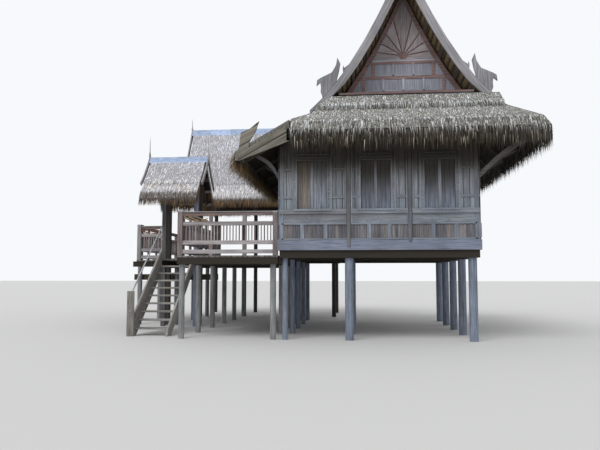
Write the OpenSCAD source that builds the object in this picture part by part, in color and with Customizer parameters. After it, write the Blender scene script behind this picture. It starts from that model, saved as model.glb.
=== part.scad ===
/* [Main house] */
// Distance between the post lines of each half of the gabled room
bay_w = 1500; // [1200:50:1900]
// Width of the side aisle between its posts and the room's posts
aisle_w = 1600; // [1200:50:2000]
// Distance between the rows of posts, front to back
row_pitch = 1650; // [1400:50:2000]
// Number of post rows, front to back
row_count = 5; // [3:1:7]
// Diameter of the big posts of the room
post_d = 210; // [160:10:260]
// Diameter of the slimmer posts of the aisle
aisle_post_d = 140; // [110:10:180]
// Height of the room's floor above the ground
floor_top = 2460; // [2200:10:2900]
// Thickness of the floor planks
floor_t = 40; // [25:5:60]
// Depth of the floor joists
joist_h = 210; // [140:10:260]
// Depth of the paired girders that clasp the posts
girder_h = 190; // [140:10:260]
// Thickness of each girder of a pair
girder_t = 50; // [35:5:80]
// Thickness of the board that closes the edge of the floor
edge_board_t = 45; // [25:5:70]
// Height of the room's post tops above the ground
post_top = 5080; // [4900:10:5300]

/* [Walls] */
// Thickness of the panelled walls
wall_t = 55; // [40:5:90]
// Height of the window sills above the ground
sill_z = 3230; // [3100:10:3400]
// Height of the window heads above the ground
head_z = 4440; // [4200:10:4600]
// Width of the window openings
window_w = 730; // [600:10:900]
// Width of the frame round each window
window_frame_w = 90; // [60:5:120]
// Width of the doorway from the terrace
door_w = 900; // [750:10:1100]
// Height of the doorway
door_h = 1950; // [1800:10:2100]
// Height of the rails and stiles over the wall boards
framing_t = 24; // [12:2:40]

/* [Main roof] */
// Height of the gable's peak above the ground
ridge_z = 9950; // [9600:10:10300]
// Slope of the roof at the ridge, as height over width
ridge_slope = 2.35; // [2.1:0.05:2.5]
// Hollow of the roof line, in height per width squared
roof_sag = 0.0003; // [0.0002:0.00005:0.0004]
// Half width of the steep roof
roof_half_w = 2350; // [2200:10:2450]
// Thickness of the thatch on the steep roof
thatch_t = 130; // [100:10:180]
// Distance of the steep roof's front from the front post row
roof_set_back = 700; // [600:10:800]
// Depth of the boarded gables behind the roof's front
gable_recess = 800; // [600:10:840]
// Width of the curved bargeboards
bargeboard_w = 180; // [140:5:220]
// Thickness of the curved bargeboards
bargeboard_t = 60; // [40:5:80]

/* [Skirt roof] */
// Reach of the front eave in front of the post row
eave_reach = 1010; // [900:10:1200]
// Reach of the right eave past the room's post line
side_eave_reach = 1750; // [1600:10:1900]
// Height of the shoulder of the eave above the ground
eave_z = 5060; // [4950:10:5150]
// Height of the bottom of the hanging fringe
fringe_z = 4640; // [4550:10:4750]
// Thickness of the thatch on the skirt roof, measured upright
skirt_t = 260; // [200:10:300]

/* [Terrace] */
// Height of the terrace deck above the ground
deck_top = 2090; // [1900:10:2300]
// Thickness of the deck planks
deck_t = 45; // [30:5:60]
// Depth of the deck beams
deck_beam_h = 175; // [140:5:220]
// Width of the terrace beside the aisle
terrace_w = 2570; // [2000:10:3000]
// Width of the further deck behind the gate
far_deck_w = 2680; // [2200:10:3000]
// Height of the railing above the deck
railing_h = 1120; // [950:10:1200]
// Diameter of the terrace posts
deck_post_d = 150; // [120:10:200]
// Distance between the balusters of the railing
baluster_pitch = 80; // [60:5:110]

/* [Stair] */
// Height of one step
riser = 209; // [190:1:220]
// Depth of one step, nosing to nosing
going = 247; // [220:1:280]
// Width of the treads
tread_w = 900; // [800:10:1100]
// Thickness of the treads
tread_t = 45; // [30:5:60]

/* [Gate roof] */
// Height of the gate's thatch ridge above the ground
gate_ridge_z = 5400; // [5200:10:5500]
// Distance between the gate's posts along its ridge
gate_post_gap = 1030; // [950:10:1200]
// Distance between the gate's posts across its ridge
gate_depth = 500; // [400:10:800]
// Thickness of the gate's square posts
gate_post_w = 130; // [100:5:160]

/* [Rear house] */
// Height of the rear house's thatch ridge above the ground
rear_ridge_z = 7700; // [7400:10:7800]
// Distance between the rear house's post rows along its ridge
rear_pitch = 1750; // [1500:50:2000]
// Number of bays of the rear house
rear_bays = 3; // [2:1:4]
// Distance between the front and back posts of the rear house
rear_depth = 2600; // [2300:50:2900]
// Height of the rear house's floor above the ground
rear_floor_top = 2290; // [2200:10:2500]

/* [Hidden] */

// Colours of the weathered timber, the thatch and the ridge sheets
wall_colour = [0.36, 0.35, 0.35];
post_colour = [0.42, 0.39, 0.37];
frame_colour = [0.34, 0.24, 0.21];
beam_colour = [0.25, 0.23, 0.20];
thatch_colour = [0.55, 0.48, 0.38];
sheet_colour = [0.50, 0.58, 0.66];

// Room round a post that passes through the floor
post_play = 2;
// Fit of timbers that meet in a pegged joint
joint = 0.3;

// Post lines of the house, left to right, and the rows front to back
post_r = post_d / 2;
aisle_post_r = aisle_post_d / 2;
aisle_x = -aisle_w;
ridge_x = bay_w;
right_x = 2 * bay_w;
last_y = (row_count - 1) * row_pitch;
front_y = -post_r - wall_t;
back_y = last_y + post_r + wall_t;
left_face_x = aisle_x - aisle_post_r - wall_t;
right_face_x = right_x + post_r + wall_t;
floor_under = floor_top - floor_t;
joist_under = floor_under - joist_h;
girder_under = joist_under - girder_h;

// Slope of the lean-to roof over the terrace side and the plate that carries it
lean_to_reach = 1250;
lean_to_eave_x = aisle_x - lean_to_reach;
lean_to_eave_z = 4640;
lean_to_pitch = 0.55;
lean_to_t = 210;
rafter_h = 90;
function lean_to_z(x) = lean_to_eave_z + (x - lean_to_eave_x) * lean_to_pitch;
aisle_plate_h = 150;
aisle_plate_top = lean_to_z(left_face_x + wall_t) - lean_to_t - rafter_h;
aisle_post_top = aisle_plate_top - aisle_plate_h;

// Places of the gable and the steep roof along the house
tie_w = 120;
gable_board_t = 40;
truss_room = 10;
roof_y0 = roof_set_back;
gable_y = min(roof_y0 + gable_recess, row_pitch - tie_w / 2 - gable_board_t - truss_room);
roof_y1 = last_y - roof_y0;
foot_x = roof_half_w;

// Skirt roof. Points [distance out, height] run from the hanging fringe up to the gable
skirt_top_y = roof_y0 - bargeboard_t;
skirt_bend_y = 190;
skirt_bend_z = 5850;
upper_pitch = 0.985;
skirt_top_z = skirt_bend_z + (skirt_top_y - skirt_bend_y) * upper_pitch;
fringe_w = 210;
front_line = [[-eave_reach, eave_z], [-eave_reach + fringe_w, eave_z + 270], [skirt_bend_y, skirt_bend_z],
    [skirt_top_y, skirt_top_z]];
right_line = [[right_x + side_eave_reach, eave_z], [right_x + side_eave_reach - 190, eave_z + 250],
    [ridge_x + foot_x, 5980], [right_x + 300, 6500]];
skirt_under = [for (i = [1:3]) [front_line[i][0], front_line[i][1] - skirt_t]];

// Upright polygon of points [y, z], drawn out from x0 to x1
module prism_x(x0, x1, points) {
    translate([x0, 0, 0])
        rotate([90, 0, 90])
            linear_extrude(height = x1 - x0)
                polygon(points);
}

// Upright polygon of points [x, z], drawn out from y0 to y1
module prism_y(y0, y1, points) {
    translate([0, y1, 0])
        rotate([90, 0, 0])
            linear_extrude(height = y1 - y0)
                polygon(points);
}

// Box between two opposite corners
module box(low, high) {
    translate(low)
        cube(high - low);
}

// Everything on the left of the main ridge repeated on its right
module both_slopes() {
    translate([ridge_x, 0, 0]) {
        children();
        mirror([1, 0, 0])
            children();
    }
}

// Everything at the front gable repeated at the back one
module both_gables() {
    children();
    translate([0, last_y, 0])
        mirror([0, 1, 0])
            children();
}

// A hollow-curved roof is [top, slope, sag]; the height and the slope x away from its ridge
function sag_z(roof, x) = roof[0] - roof[1] * x + roof[2] * x * x;
function sag_slope(roof, x) = roof[1] - 2 * roof[2] * x;
// Height of the line that lies t under the roof's surface
function sag_under(roof, x, t) = sag_z(roof, x) - t * sqrt(1 + pow(sag_slope(roof, x), 2));
// Points of that line from x0 to x1 in n steps
function sag_line(roof, x0, x1, n, t) =
    [for (i = [0:n]) let (x = x0 + (x1 - x0) * i / n) [x, sag_under(roof, x, t)]];
// Slope of a line at its upper end, and the height at which it meets its mirror image
function peak_slope(line) = (line[0][1] - line[1][1]) / (line[1][0] - line[0][0]);
function peak_z(line) = line[0][1] + line[0][0] * peak_slope(line);
function reversed(list) = [for (i = [len(list) - 1:-1:0]) list[i]];
function sunk(line, d) = [for (p = line) [p[0], p[1] - d]];
function flipped(line, middle) = [for (p = reversed(line)) [2 * middle - p[0], p[1]]];

// House posts, from the ground to the plates
module post_at(x, y, r, top) {
    translate([x, y, 0])
        cylinder(r = r, h = top, $fn = 48);
}

module house_posts() {
    color(post_colour)
        for (row = [0:row_count - 1]) {
            post_at(aisle_x, row * row_pitch, aisle_post_r, aisle_post_top);
            post_at(0, row * row_pitch, post_r, post_top);
            post_at(right_x, row * row_pitch, post_r, post_top);
        }
}

// A pair of girders clasps each row of posts
module house_girders() {
    color(beam_colour)
        for (row = [0:row_count - 1], side = [-1, 1])
            translate([left_face_x, row * row_pitch + side * (post_r + girder_t / 2) - girder_t / 2, girder_under])
                cube([right_face_x - left_face_x, girder_t, girder_h]);
}

joist_w = 60;
aisle_joists = 3;
room_joists = 5;

module joist_at(x) {
    box([x - joist_w / 2, front_y, joist_under], [x + joist_w / 2, back_y, floor_under]);
}

module house_joists() {
    color(beam_colour) {
        for (i = [0:aisle_joists - 1])
            joist_at(aisle_x + aisle_w * (i + 0.5) / aisle_joists);
        for (i = [0:room_joists - 1])
            joist_at(right_x * (i + 0.5) / room_joists);
        box([left_face_x, front_y, joist_under], [left_face_x + wall_t - 10, back_y, floor_under]);
        box([right_face_x - wall_t + 10, front_y, joist_under], [right_face_x, back_y, floor_under]);
    }
}

module house_floor() {
    color(wall_colour)
        difference() {
            box([left_face_x, front_y, floor_under], [right_face_x, back_y, floor_top]);
            for (row = [0:row_count - 1]) {
                post_at(aisle_x, row * row_pitch, aisle_post_r + post_play, floor_top + 1);
                post_at(0, row * row_pitch, post_r + post_play, floor_top + 1);
                post_at(right_x, row * row_pitch, post_r + post_play, floor_top + 1);
            }
        }
}

// Boards round the edge of the floor
module floor_boards() {
    color(wall_colour) {
        for (y = [front_y - edge_board_t, back_y])
            box([left_face_x - edge_board_t, y, joist_under], [right_face_x + edge_board_t, y + edge_board_t, floor_top]);
        for (x = [left_face_x - edge_board_t, right_face_x])
            box([x, front_y + joint, joist_under], [x + edge_board_t, back_y - joint, floor_top]);
    }
}

// Walls of boards with the windows cut through
wall_top = post_top;
aisle_wall_top = aisle_plate_top - 60;
aisle_window_x = aisle_x / 2 - 110;
room_window_x = [bay_w / 2 - 80, bay_w * 3 / 2 - 20];
front_windows = concat([aisle_window_x], room_window_x);

module window_holes(centres, w, low, high) {
    for (x = centres)
        translate([x - w / 2, low])
            square([w, high - low]);
}

module gable_wall_outline() {
    polygon([[left_face_x, floor_top], [right_face_x, floor_top], [right_face_x, wall_top],
        [left_face_x + aisle_w / 3, wall_top], [left_face_x, aisle_wall_top]]);
}

module gable_wall(y) {
    translate([0, y + wall_t, 0])
        rotate([90, 0, 0])
            linear_extrude(height = wall_t)
                difference() {
                    gable_wall_outline();
                    window_holes(front_windows, window_w, sill_z, head_z);
                }
}

module front_wall() {
    color(wall_colour)
        gable_wall(front_y);
}

module back_wall() {
    color(wall_colour)
        gable_wall(back_y - wall_t);
}

side_windows = [for (row = [0:row_count - 2]) (row + 0.5) * row_pitch];
door_y = side_windows[1];
door_side_windows = [for (y = side_windows) if (abs(y - door_y) > 1) y];

module side_slab(x, y0, y1, low, high, windows) {
    translate([x, 0, 0])
        rotate([90, 0, 90])
            linear_extrude(height = wall_t)
                difference() {
                    translate([y0, low])
                        square([y1 - y0, high - low]);
                    window_holes(windows, window_w, sill_z, min(head_z, high - 200));
                }
}

side_y0 = front_y + wall_t;
side_y1 = back_y - wall_t;

module left_wall() {
    color(wall_colour) {
        side_slab(left_face_x, side_y0, door_y - door_w / 2, floor_top, aisle_wall_top, door_side_windows);
        side_slab(left_face_x, door_y + door_w / 2, side_y1, floor_top, aisle_wall_top, door_side_windows);
    }
}

module door_head() {
    color(wall_colour)
        box([left_face_x, door_y - door_w / 2, floor_top + door_h],
            [left_face_x + wall_t, door_y + door_w / 2, aisle_wall_top]);
}

module right_wall() {
    color(wall_colour)
        side_slab(right_face_x - wall_t, side_y0, side_y1, floor_top, wall_top, side_windows);
}

// Rails, stiles and window frames that stand over the boards
base_rail_h = 50;
low_panel_z = floor_top + base_rail_h;
low_panel_h = 330;
sill_h = 120;
sill_reach = 40;
pilaster_r = 50;
rail_h = 60;
low_panels = 3;
stile_w = 100;

module wall_framing(x0, x1, windows, high, posts) {
    difference() {
        union() {
            translate([x0, floor_top])
                square([x1 - x0, base_rail_h]);
            translate([x0, low_panel_z + low_panel_h])
                square([x1 - x0, sill_z - low_panel_z - low_panel_h]);
            for (i = [0:len(posts) - 2], k = [0:low_panels])
                let (x = posts[i] + (posts[i + 1] - posts[i]) * k / low_panels)
                    translate([max(x0, min(x1 - stile_w, x - stile_w / 2)), floor_top])
                        square([stile_w, low_panel_z + low_panel_h - floor_top]);
            for (x = windows)
                translate([x - window_w / 2 - window_frame_w, sill_z - 1])
                    square([window_w + 2 * window_frame_w, min(head_z, high - 200) - sill_z + window_frame_w]);
            for (x = posts)
                translate([max(x0, min(x1 - stile_w, x - stile_w / 2)), floor_top])
                    square([stile_w, min(high, fringe_z + 200) - floor_top]);
            for (z = [sill_z + 270, head_z - 240])
                translate([x0, z])
                    square([x1 - x0, rail_h]);
        }
        window_holes(windows, window_w, sill_z, min(head_z, high - 200));
    }
}

front_posts = [left_face_x, 0, bay_w, right_face_x];

// Framing of the front wall with the window sills that stand out between the half-round posts
module gable_framing() {
    translate([0, front_y, 0])
        rotate([90, 0, 0])
            linear_extrude(height = framing_t)
                wall_framing(left_face_x, right_face_x, front_windows, aisle_wall_top, front_posts);
    for (i = [0:len(front_posts) - 2])
        box([front_posts[i] + (i == 0 ? 0 : pilaster_r + joint), front_y - framing_t - sill_reach, sill_z - sill_h],
            [front_posts[i + 1] - (i == len(front_posts) - 2 ? 0 : pilaster_r + joint), front_y - 1, sill_z]);
}

module front_framing() {
    color(frame_colour)
        gable_framing();
}

module back_framing() {
    color(frame_colour)
        translate([0, last_y, 0])
            mirror([0, 1, 0])
                gable_framing();
}

side_posts = [for (row = [0:row_count - 1]) row * row_pitch];

module side_framing() {
    color(frame_colour) {
        translate([left_face_x - framing_t, 0, 0])
            rotate([90, 0, 90])
                linear_extrude(height = framing_t)
                    difference() {
                        wall_framing(front_y, back_y, door_side_windows, aisle_wall_top, side_posts);
                        translate([door_y - door_w / 2, floor_top - 1])
                            square([door_w, door_h + 1]);
                    }
        translate([right_face_x, 0, 0])
            rotate([90, 0, 90])
                linear_extrude(height = framing_t)
                    wall_framing(front_y, back_y, side_windows, wall_top, side_posts);
    }
}

// Two closed leaves in each window
shutter_t = 35;
shutter_gap = 6;

module shutter_pair(x, low, high) {
    for (side = [0, 1])
        translate([x - window_w / 2 + side * (window_w + shutter_gap) / 2, low])
            square([(window_w - shutter_gap) / 2, high - low]);
}

module shutters() {
    color(wall_colour) {
        for (y = [front_y + shutter_t, back_y])
            translate([0, y, 0])
                rotate([90, 0, 0])
                    linear_extrude(height = shutter_t)
                        for (x = front_windows)
                            shutter_pair(x, sill_z, head_z);
        translate([left_face_x, 0, 0])
            rotate([90, 0, 90])
                linear_extrude(height = shutter_t)
                    for (y = door_side_windows)
                        shutter_pair(y, sill_z, min(head_z, aisle_wall_top - 200));
        translate([right_face_x - shutter_t, 0, 0])
            rotate([90, 0, 90])
                linear_extrude(height = shutter_t)
                    for (y = side_windows)
                        shutter_pair(y, sill_z, min(head_z, wall_top - 200));
    }
}

// Half-round posts over the front and back walls; they run down over the edge of the floor
pilaster_top = fringe_z + 200;

module half_pilaster(x, low) {
    for (part = [[low, floor_top, edge_board_t + joint], [floor_top, pilaster_top, framing_t]])
        translate([x, front_y - framing_t, part[0]])
            intersection() {
                cylinder(r = pilaster_r, h = part[1] - part[0], $fn = 48);
                translate([-pilaster_r, -pilaster_r, 0])
                    cube([2 * pilaster_r, pilaster_r + framing_t - part[2], part[1] - part[0]]);
            }
}

module wall_pilasters() {
    color(post_colour)
        both_gables() {
            half_pilaster(0, joist_under + 90);
            half_pilaster(bay_w, floor_top - 40);
        }
}

// Plates along the house and trusses across it
plate_h = 150;
plate_w = 150;

module wall_plates() {
    color(beam_colour) {
        for (x = [0, right_x])
            box([x - plate_w / 2, front_y, post_top], [x + plate_w / 2, back_y, post_top + plate_h]);
        box([aisle_x - plate_w / 2 + 5, front_y + wall_t, aisle_post_top],
            [aisle_x + plate_w / 2, back_y - wall_t, aisle_plate_top]);
    }
}

roof = [ridge_z, ridge_slope, roof_sag];
roof_steps = 6;
purlin_h = 110;
purlin_w = 60;
truss_h = 150;
tie_under = post_top + plate_h;
tie_top = lookup(-tie_w / 2, skirt_under) - rafter_h;
tie_h = tie_top - tie_under;

thatch_line = sag_line(roof, 0, foot_x, roof_steps, 0);
thatch_under = sag_line(roof, 0, foot_x, roof_steps, thatch_t);
purlin_line = sunk(thatch_under, purlin_h);
truss_line = sunk(purlin_line, 2 * truss_h);

module truss_half() {
    polygon(concat([for (p = purlin_line) if (p[0] < foot_x - 1) p], [[foot_x - 100, lookup(foot_x - 100, purlin_line)],
        [foot_x - 100, tie_top], [foot_x - 260, tie_top]],
        reversed([for (p = truss_line) if (p[0] < foot_x - 300) p])));
}

module roof_trusses() {
    color(beam_colour) {
        for (row = [1:row_count - 2])
            translate([ridge_x, row * row_pitch + tie_w / 2, 0])
                rotate([90, 0, 0])
                    linear_extrude(height = tie_w)
                        union() {
                            truss_half();
                            mirror([1, 0])
                                truss_half();
                            translate([-foot_x, tie_under])
                                square([2 * foot_x, tie_h]);
                            translate([-tie_w / 2, tie_under])
                                square([tie_w, purlin_line[0][1] - 2 * truss_h - tie_under + 10]);
                        }
        for (y = [0, last_y])
            box([ridge_x - foot_x, y - tie_w / 2, tie_under], [ridge_x + foot_x, y + tie_w / 2, tie_top]);
    }
}

purlin_x = [for (i = [1:roof_steps - 1]) (i + 0.5) * foot_x / roof_steps];

module purlin_end(x) {
    polygon([[x - purlin_w / 2, lookup(x - purlin_w / 2, thatch_under)],
        [x + purlin_w / 2, lookup(x + purlin_w / 2, thatch_under)],
        [x + purlin_w / 2, lookup(x + purlin_w / 2, purlin_line)],
        [x - purlin_w / 2, lookup(x - purlin_w / 2, purlin_line)]]);
}

module roof_purlins() {
    color(beam_colour)
        both_slopes()
            translate([0, roof_y1, 0])
                rotate([90, 0, 0])
                    linear_extrude(height = roof_y1 - roof_y0)
                        for (x = purlin_x)
                            purlin_end(x);
}

// Boarded gables with their panels and rays, set back on a shelf over the skirt roof
gable_base_z = 6400;

module gable_outline() {
    intersection() {
        union() {
            polygon(concat(purlin_line, [[foot_x, 0], [0, 0]]));
            mirror([1, 0])
                polygon(concat(purlin_line, [[foot_x, 0], [0, 0]]));
        }
        translate([-foot_x, gable_base_z])
            square([2 * foot_x, ridge_z]);
    }
}

gable_sill_h = 50;
gable_sill_half = 1740;

module gable_boards() {
    color(wall_colour)
        both_gables() {
            translate([ridge_x, gable_y + gable_board_t, 0])
                rotate([90, 0, 0])
                    linear_extrude(height = gable_board_t)
                        gable_outline();
            box([ridge_x - gable_sill_half, skirt_top_y, gable_base_z - gable_sill_h],
                [ridge_x + gable_sill_half, gable_y + gable_board_t, gable_base_z]);
        }
}

ray_edges = [-12, 10, 32, 54, 76, 104, 126, 148, 170, 192];
ray_hub_z = 7655;
ray_hub_r = 110;
ray_len = 2000;
ray_gap = 14;
gable_rails = [6575, 7003, 7432];
gable_rail_h = 90;
gable_bay = 550;
gable_stile_w = 90;
gable_mullion_w = 50;
rake_h = 250;
relief_gap = 8;

// The gable inside the boards that run along both slopes of the roof
module gable_field() {
    for (side = [0, 1])
        mirror([side, 0])
            polygon(concat(sunk(purlin_line, rake_h + relief_gap), [[foot_x, gable_base_z], [0, gable_base_z]]));
}

// One ray, a board that widens between two angles, with a gap along both edges
module ray(from, to) {
    near = ray_hub_r + relief_gap;
    polygon([for (end = [[near, from, 90], [ray_len, from, 90], [ray_len, to, -90], [near, to, -90]])
        [end[0] * cos(end[1]) + ray_gap * cos(end[1] + end[2]), ray_hub_z + end[0] * sin(end[1])
            + ray_gap * sin(end[1] + end[2])]]);
}

module gable_relief() {
    intersection() {
        gable_outline();
        for (side = [0, 1])
            mirror([side, 0])
                polygon(concat(purlin_line, reversed(sunk(purlin_line, rake_h))));
    }
    intersection() {
        gable_field();
        union() {
            for (z = gable_rails)
                translate([-foot_x, z])
                    square([2 * foot_x, gable_rail_h]);
            for (row = [0, 1], side = [-1, 1])
                translate([side * (4 - row) / 2 * gable_bay - gable_stile_w / 2, gable_rails[row]])
                    square([gable_stile_w, gable_rails[row + 1] - gable_rails[row]]);
            for (row = [0, 1], k = [1:3 - row])
                translate([(k - (4 - row) / 2) * gable_bay - gable_mullion_w / 2, gable_rails[row]])
                    square([gable_mullion_w, gable_rails[row + 1] - gable_rails[row]]);
        }
    }
    translate([0, ray_hub_z])
        circle(r = ray_hub_r, $fn = 48);
    for (i = [0:len(ray_edges) - 2])
        intersection() {
            gable_field();
            ray(ray_edges[i], ray_edges[i + 1]);
            translate([-foot_x, gable_rails[2] + gable_rail_h + relief_gap])
                square([2 * foot_x, ridge_z]);
        }
}

relief_t = 20;

module sunbursts() {
    color(frame_colour)
        both_gables()
            translate([ridge_x, gable_y, 0])
                rotate([90, 0, 0])
                    linear_extrude(height = relief_t)
                        gable_relief();
}

// Curved bargeboards that run out in a thin tip past the eave
barge_tip_x = 2530;
barge_line = sag_line(roof, joint, barge_tip_x, roof_steps + 1, -30);

// The board narrows from barge_taper_x to its tip
barge_taper_x = 1600;
barge_tip_w = 40;
function barge_w(x) = lookup(x, [[barge_taper_x, bargeboard_w], [barge_tip_x, barge_tip_w]]);
barge_under = [for (i = [0:roof_steps + 2])
    let (x = joint + (barge_tip_x - joint) * i / (roof_steps + 2)) [x, sag_under(roof, x, barge_w(x))]];

module bargeboard_half() {
    polygon(concat(barge_line, reversed(barge_under)));
}

module bargeboards() {
    color(wall_colour)
        both_gables()
            translate([ridge_x, roof_y0, 0])
                rotate([90, 0, 0])
                    linear_extrude(height = bargeboard_t)
                        for (side = [0, 1])
                            mirror([side, 0])
                                bargeboard_half();
}

// Upturned carved ends that stand on the lower part of each bargeboard, and a spur above each
flame_x = 1950;
flame_z = sag_under(roof, flame_x, -30);
flame = [[-160, 820], [-240, 650], [-200, 430], [-160, 280], [-110, 30], [-110, -200], [220, -500], [250, -210],
    [290, -100], [280, 30], [300, 150], [400, 60], [380, 220], [290, 280], [140, 350], [-10, 420], [-120, 610]];
spur = [[-570, 700], [-340, 530], [-320, 610], [-300, 510], [-320, 330], [-570, 400]];

module bargeboard_ends() {
    color(wall_colour)
        both_gables()
            translate([ridge_x, roof_y0, 0])
                rotate([90, 0, 0])
                    linear_extrude(height = bargeboard_t)
                        for (side = [0, 1])
                            mirror([side, 0])
                                difference() {
                                    translate([flame_x, flame_z])
                                        union() {
                                            polygon(flame);
                                            polygon(spur);
                                        }
                                    polygon(concat(barge_line, [[barge_tip_x, 0], [0, 0]]));
                                }
}

module steep_thatch() {
    translate([0, roof_y1, 0])
        rotate([90, 0, 0])
            linear_extrude(height = roof_y1 - roof_y0)
                polygon(concat(thatch_line, reversed(thatch_under)));
}

module right_roof_thatch() {
    color(thatch_colour)
        translate([ridge_x, 0, 0])
            steep_thatch();
}

// The left slope's foot hangs down onto the roof over the terrace side
foot_drip_w = 100;

module left_roof_thatch() {
    color(thatch_colour)
        union() {
            translate([ridge_x, 0, 0])
                mirror([1, 0, 0])
                    steep_thatch();
            prism_y(roof_y0, roof_y1, [[ridge_x - foot_x, lean_to_z(ridge_x - foot_x) + joint],
                [ridge_x - foot_x + foot_drip_w - joint, lean_to_z(ridge_x - foot_x + foot_drip_w) + joint],
                [ridge_x - foot_x + foot_drip_w - joint, sag_under(roof, foot_x - foot_drip_w, thatch_t / 2)],
                [ridge_x - foot_x, sag_z(roof, foot_x)]]);
        }
}

front_band = concat([[-eave_reach, fringe_z]], front_line,
    reversed(sunk([for (i = [1:3]) front_line[i]], skirt_t)), [[-eave_reach + fringe_w, fringe_z]]);
right_band = concat([[right_line[0][0], fringe_z]], [for (i = [0:2]) right_line[i]],
    reversed(sunk([for (i = [1:2]) right_line[i]], skirt_t)), [[right_line[1][0], fringe_z]]);

skirt_x0 = -1440;
hat_z0 = 3000;
hat_z1 = 10500;
hip_x = ridge_x - foot_x;

module front_hat(d) {
    line = sunk(front_line, d);
    start = d > 0 ? [for (i = [1:3]) line[i]] : line;
    prism_x(lean_to_eave_x, right_line[0][0] + 10, concat([[start[0][0], hat_z0]], start,
        [[last_y - start[len(start) - 1][0], start[len(start) - 1][1]]],
        flipped([for (i = [0:len(start) - 2]) start[i]], last_y / 2), [[last_y - start[0][0], hat_z0]]));
}

module right_hat() {
    prism_y(-eave_reach - 10, last_y + eave_reach + 10,
        concat([[skirt_x0, hat_z0], [skirt_x0, lean_to_z(skirt_x0)], [hip_x, lean_to_z(hip_x)],
            [hip_x, hat_z1], [right_x + 300, hat_z1]], reversed(right_line), [[right_line[0][0], hat_z0]]));
}

// Space over the skirt thatch for the tail of the left bargeboard
tail_play = 5;

module tail_room() {
    prism_y(skirt_bend_y, skirt_top_y + 1, concat([for (p = flipped(barge_under, 0)) [ridge_x + p[0], p[1] - tail_play]],
        [[ridge_x, hat_z1], [ridge_x - barge_tip_x, hat_z1]]));
}

module gable_end_skirt() {
    difference() {
        intersection() {
            prism_x(skirt_x0, right_line[0][0], front_band);
            right_hat();
        }
        tail_room();
    }
}

module front_skirt() {
    color(thatch_colour)
        gable_end_skirt();
}

module back_skirt() {
    color(thatch_colour)
        translate([0, last_y, 0])
            mirror([0, 1, 0])
                gable_end_skirt();
}

module right_skirt() {
    color(thatch_colour)
        intersection() {
            prism_y(-eave_reach, last_y + eave_reach, right_band);
            front_hat(skirt_t);
        }
}

// Short upper course of thatch under each gable
upper_x0 = -2220;
upper_x1 = 2390;

module upper_skirts() {
    color(thatch_colour)
        both_gables()
            difference() {
                prism_x(ridge_x + upper_x0, ridge_x + upper_x1, [[skirt_top_y, skirt_top_z], [skirt_top_y, skirt_top_z + 25],
                    [skirt_bend_y + 110, skirt_bend_z + 210], [skirt_bend_y - 60, skirt_bend_z + 110],
                    [skirt_bend_y - 60, lookup(skirt_bend_y - 60, front_line)], [skirt_bend_y, skirt_bend_z]]);
                tail_room();
            }
}

// Roof over the terrace side, on the same pitch as the lower skirt
lean_to_bend_x = skirt_x0;
lean_to_y0 = -560;

lean_to_line = [for (x = [lean_to_eave_x, lean_to_bend_x, hip_x + foot_drip_w - joint]) [x, lean_to_z(x)]];
lean_to_fringe_z = 4320;
lean_to_fringe_w = 200;

lean_to_inner = [[lean_to_eave_x + lean_to_fringe_w, lean_to_z(lean_to_eave_x + lean_to_fringe_w) - lean_to_t],
    [lean_to_line[1][0], lean_to_line[1][1] - lean_to_t], [lean_to_line[2][0], lean_to_line[2][1] - lean_to_t]];

module lean_to_thatch() {
    color(thatch_colour)
        union() {
            prism_y(lean_to_y0, last_y - lean_to_y0, [[lean_to_eave_x, lean_to_fringe_z], lean_to_line[0],
                lean_to_line[1], lean_to_inner[1], lean_to_inner[0],
                [lean_to_eave_x + lean_to_fringe_w, lean_to_fringe_z]]);
            intersection() {
                prism_y(lean_to_y0, last_y - lean_to_y0, [lean_to_line[1], lean_to_line[2], lean_to_inner[2],
                    lean_to_inner[1]]);
                front_hat(skirt_t);
            }
        }
}

// Boards that close the ends of that roof, each with a horn at its foot
verge_t = 45;
verge_top = 135;
verge_low_h = 190;
verge_high_h = 360;
verge_x0 = lean_to_eave_x + 150;
verge_x1 = lean_to_bend_x - 60;
verge_horn = [[145, -50], [210, 460], [450, 570], [670, 752], [580, 480], [430, 240], [410, 60]];

module lean_to_verges() {
    color(post_colour)
        both_gables() {
            prism_y(lean_to_y0 - verge_t, lean_to_y0, [
                [verge_x0, lean_to_z(verge_x0) - verge_top - verge_low_h], [verge_x0, lean_to_z(verge_x0) - verge_top],
                [verge_x1, lean_to_z(verge_x1) - verge_top], [verge_x1, lean_to_z(verge_x1) - verge_top - verge_high_h],
                [verge_x1 + 100, lean_to_z(verge_x1) - verge_top - verge_high_h]]);
            prism_y(lean_to_y0 - verge_t, lean_to_y0,
                [for (p = verge_horn) [lean_to_eave_x + p[0], lean_to_eave_z + p[1]]]);
        }
}

// Rafters of the skirt roofs
rafter_w = 60;
right_under = sunk([for (i = [1:2]) right_line[i]], skirt_t);
lean_to_under = [for (x = [lean_to_inner[0][0], hip_x - joint]) [x, lean_to_z(x) - lean_to_t]];

module skirt_rafters() {
    color(beam_colour) {
        both_gables()
            for (i = [0:6])
                let (x = i * right_x / 6)
                    prism_x(x - rafter_w / 2, x + rafter_w / 2, concat(skirt_under, reversed(sunk(skirt_under, rafter_h))));
        intersection() {
            for (row = [0:row_count - 1], line = [right_under, lean_to_under])
                prism_y(row * row_pitch - rafter_w / 2, row * row_pitch + rafter_w / 2,
                    concat(line, reversed(sunk(line, rafter_h))));
            front_hat(skirt_t);
        }
    }
}

// Brackets from the walls out to the eaves
bracket_w = 60;

bracket_foot_z = 3950;
bracket_foot_h = 140;
bracket_head_w = 90;
left_bracket_reach = 560;
right_bracket_x = right_x + side_eave_reach - 290;
bracket_bow = 90;

// Points from a to b in n steps, bowed out to the side
function bowed(a, b, bow, n) = let (along = (b - a) / norm(b - a))
    [for (i = [0:n]) a + (b - a) * i / n + bow * sin(180 * i / n) * [-along[1], along[0]]];

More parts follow.
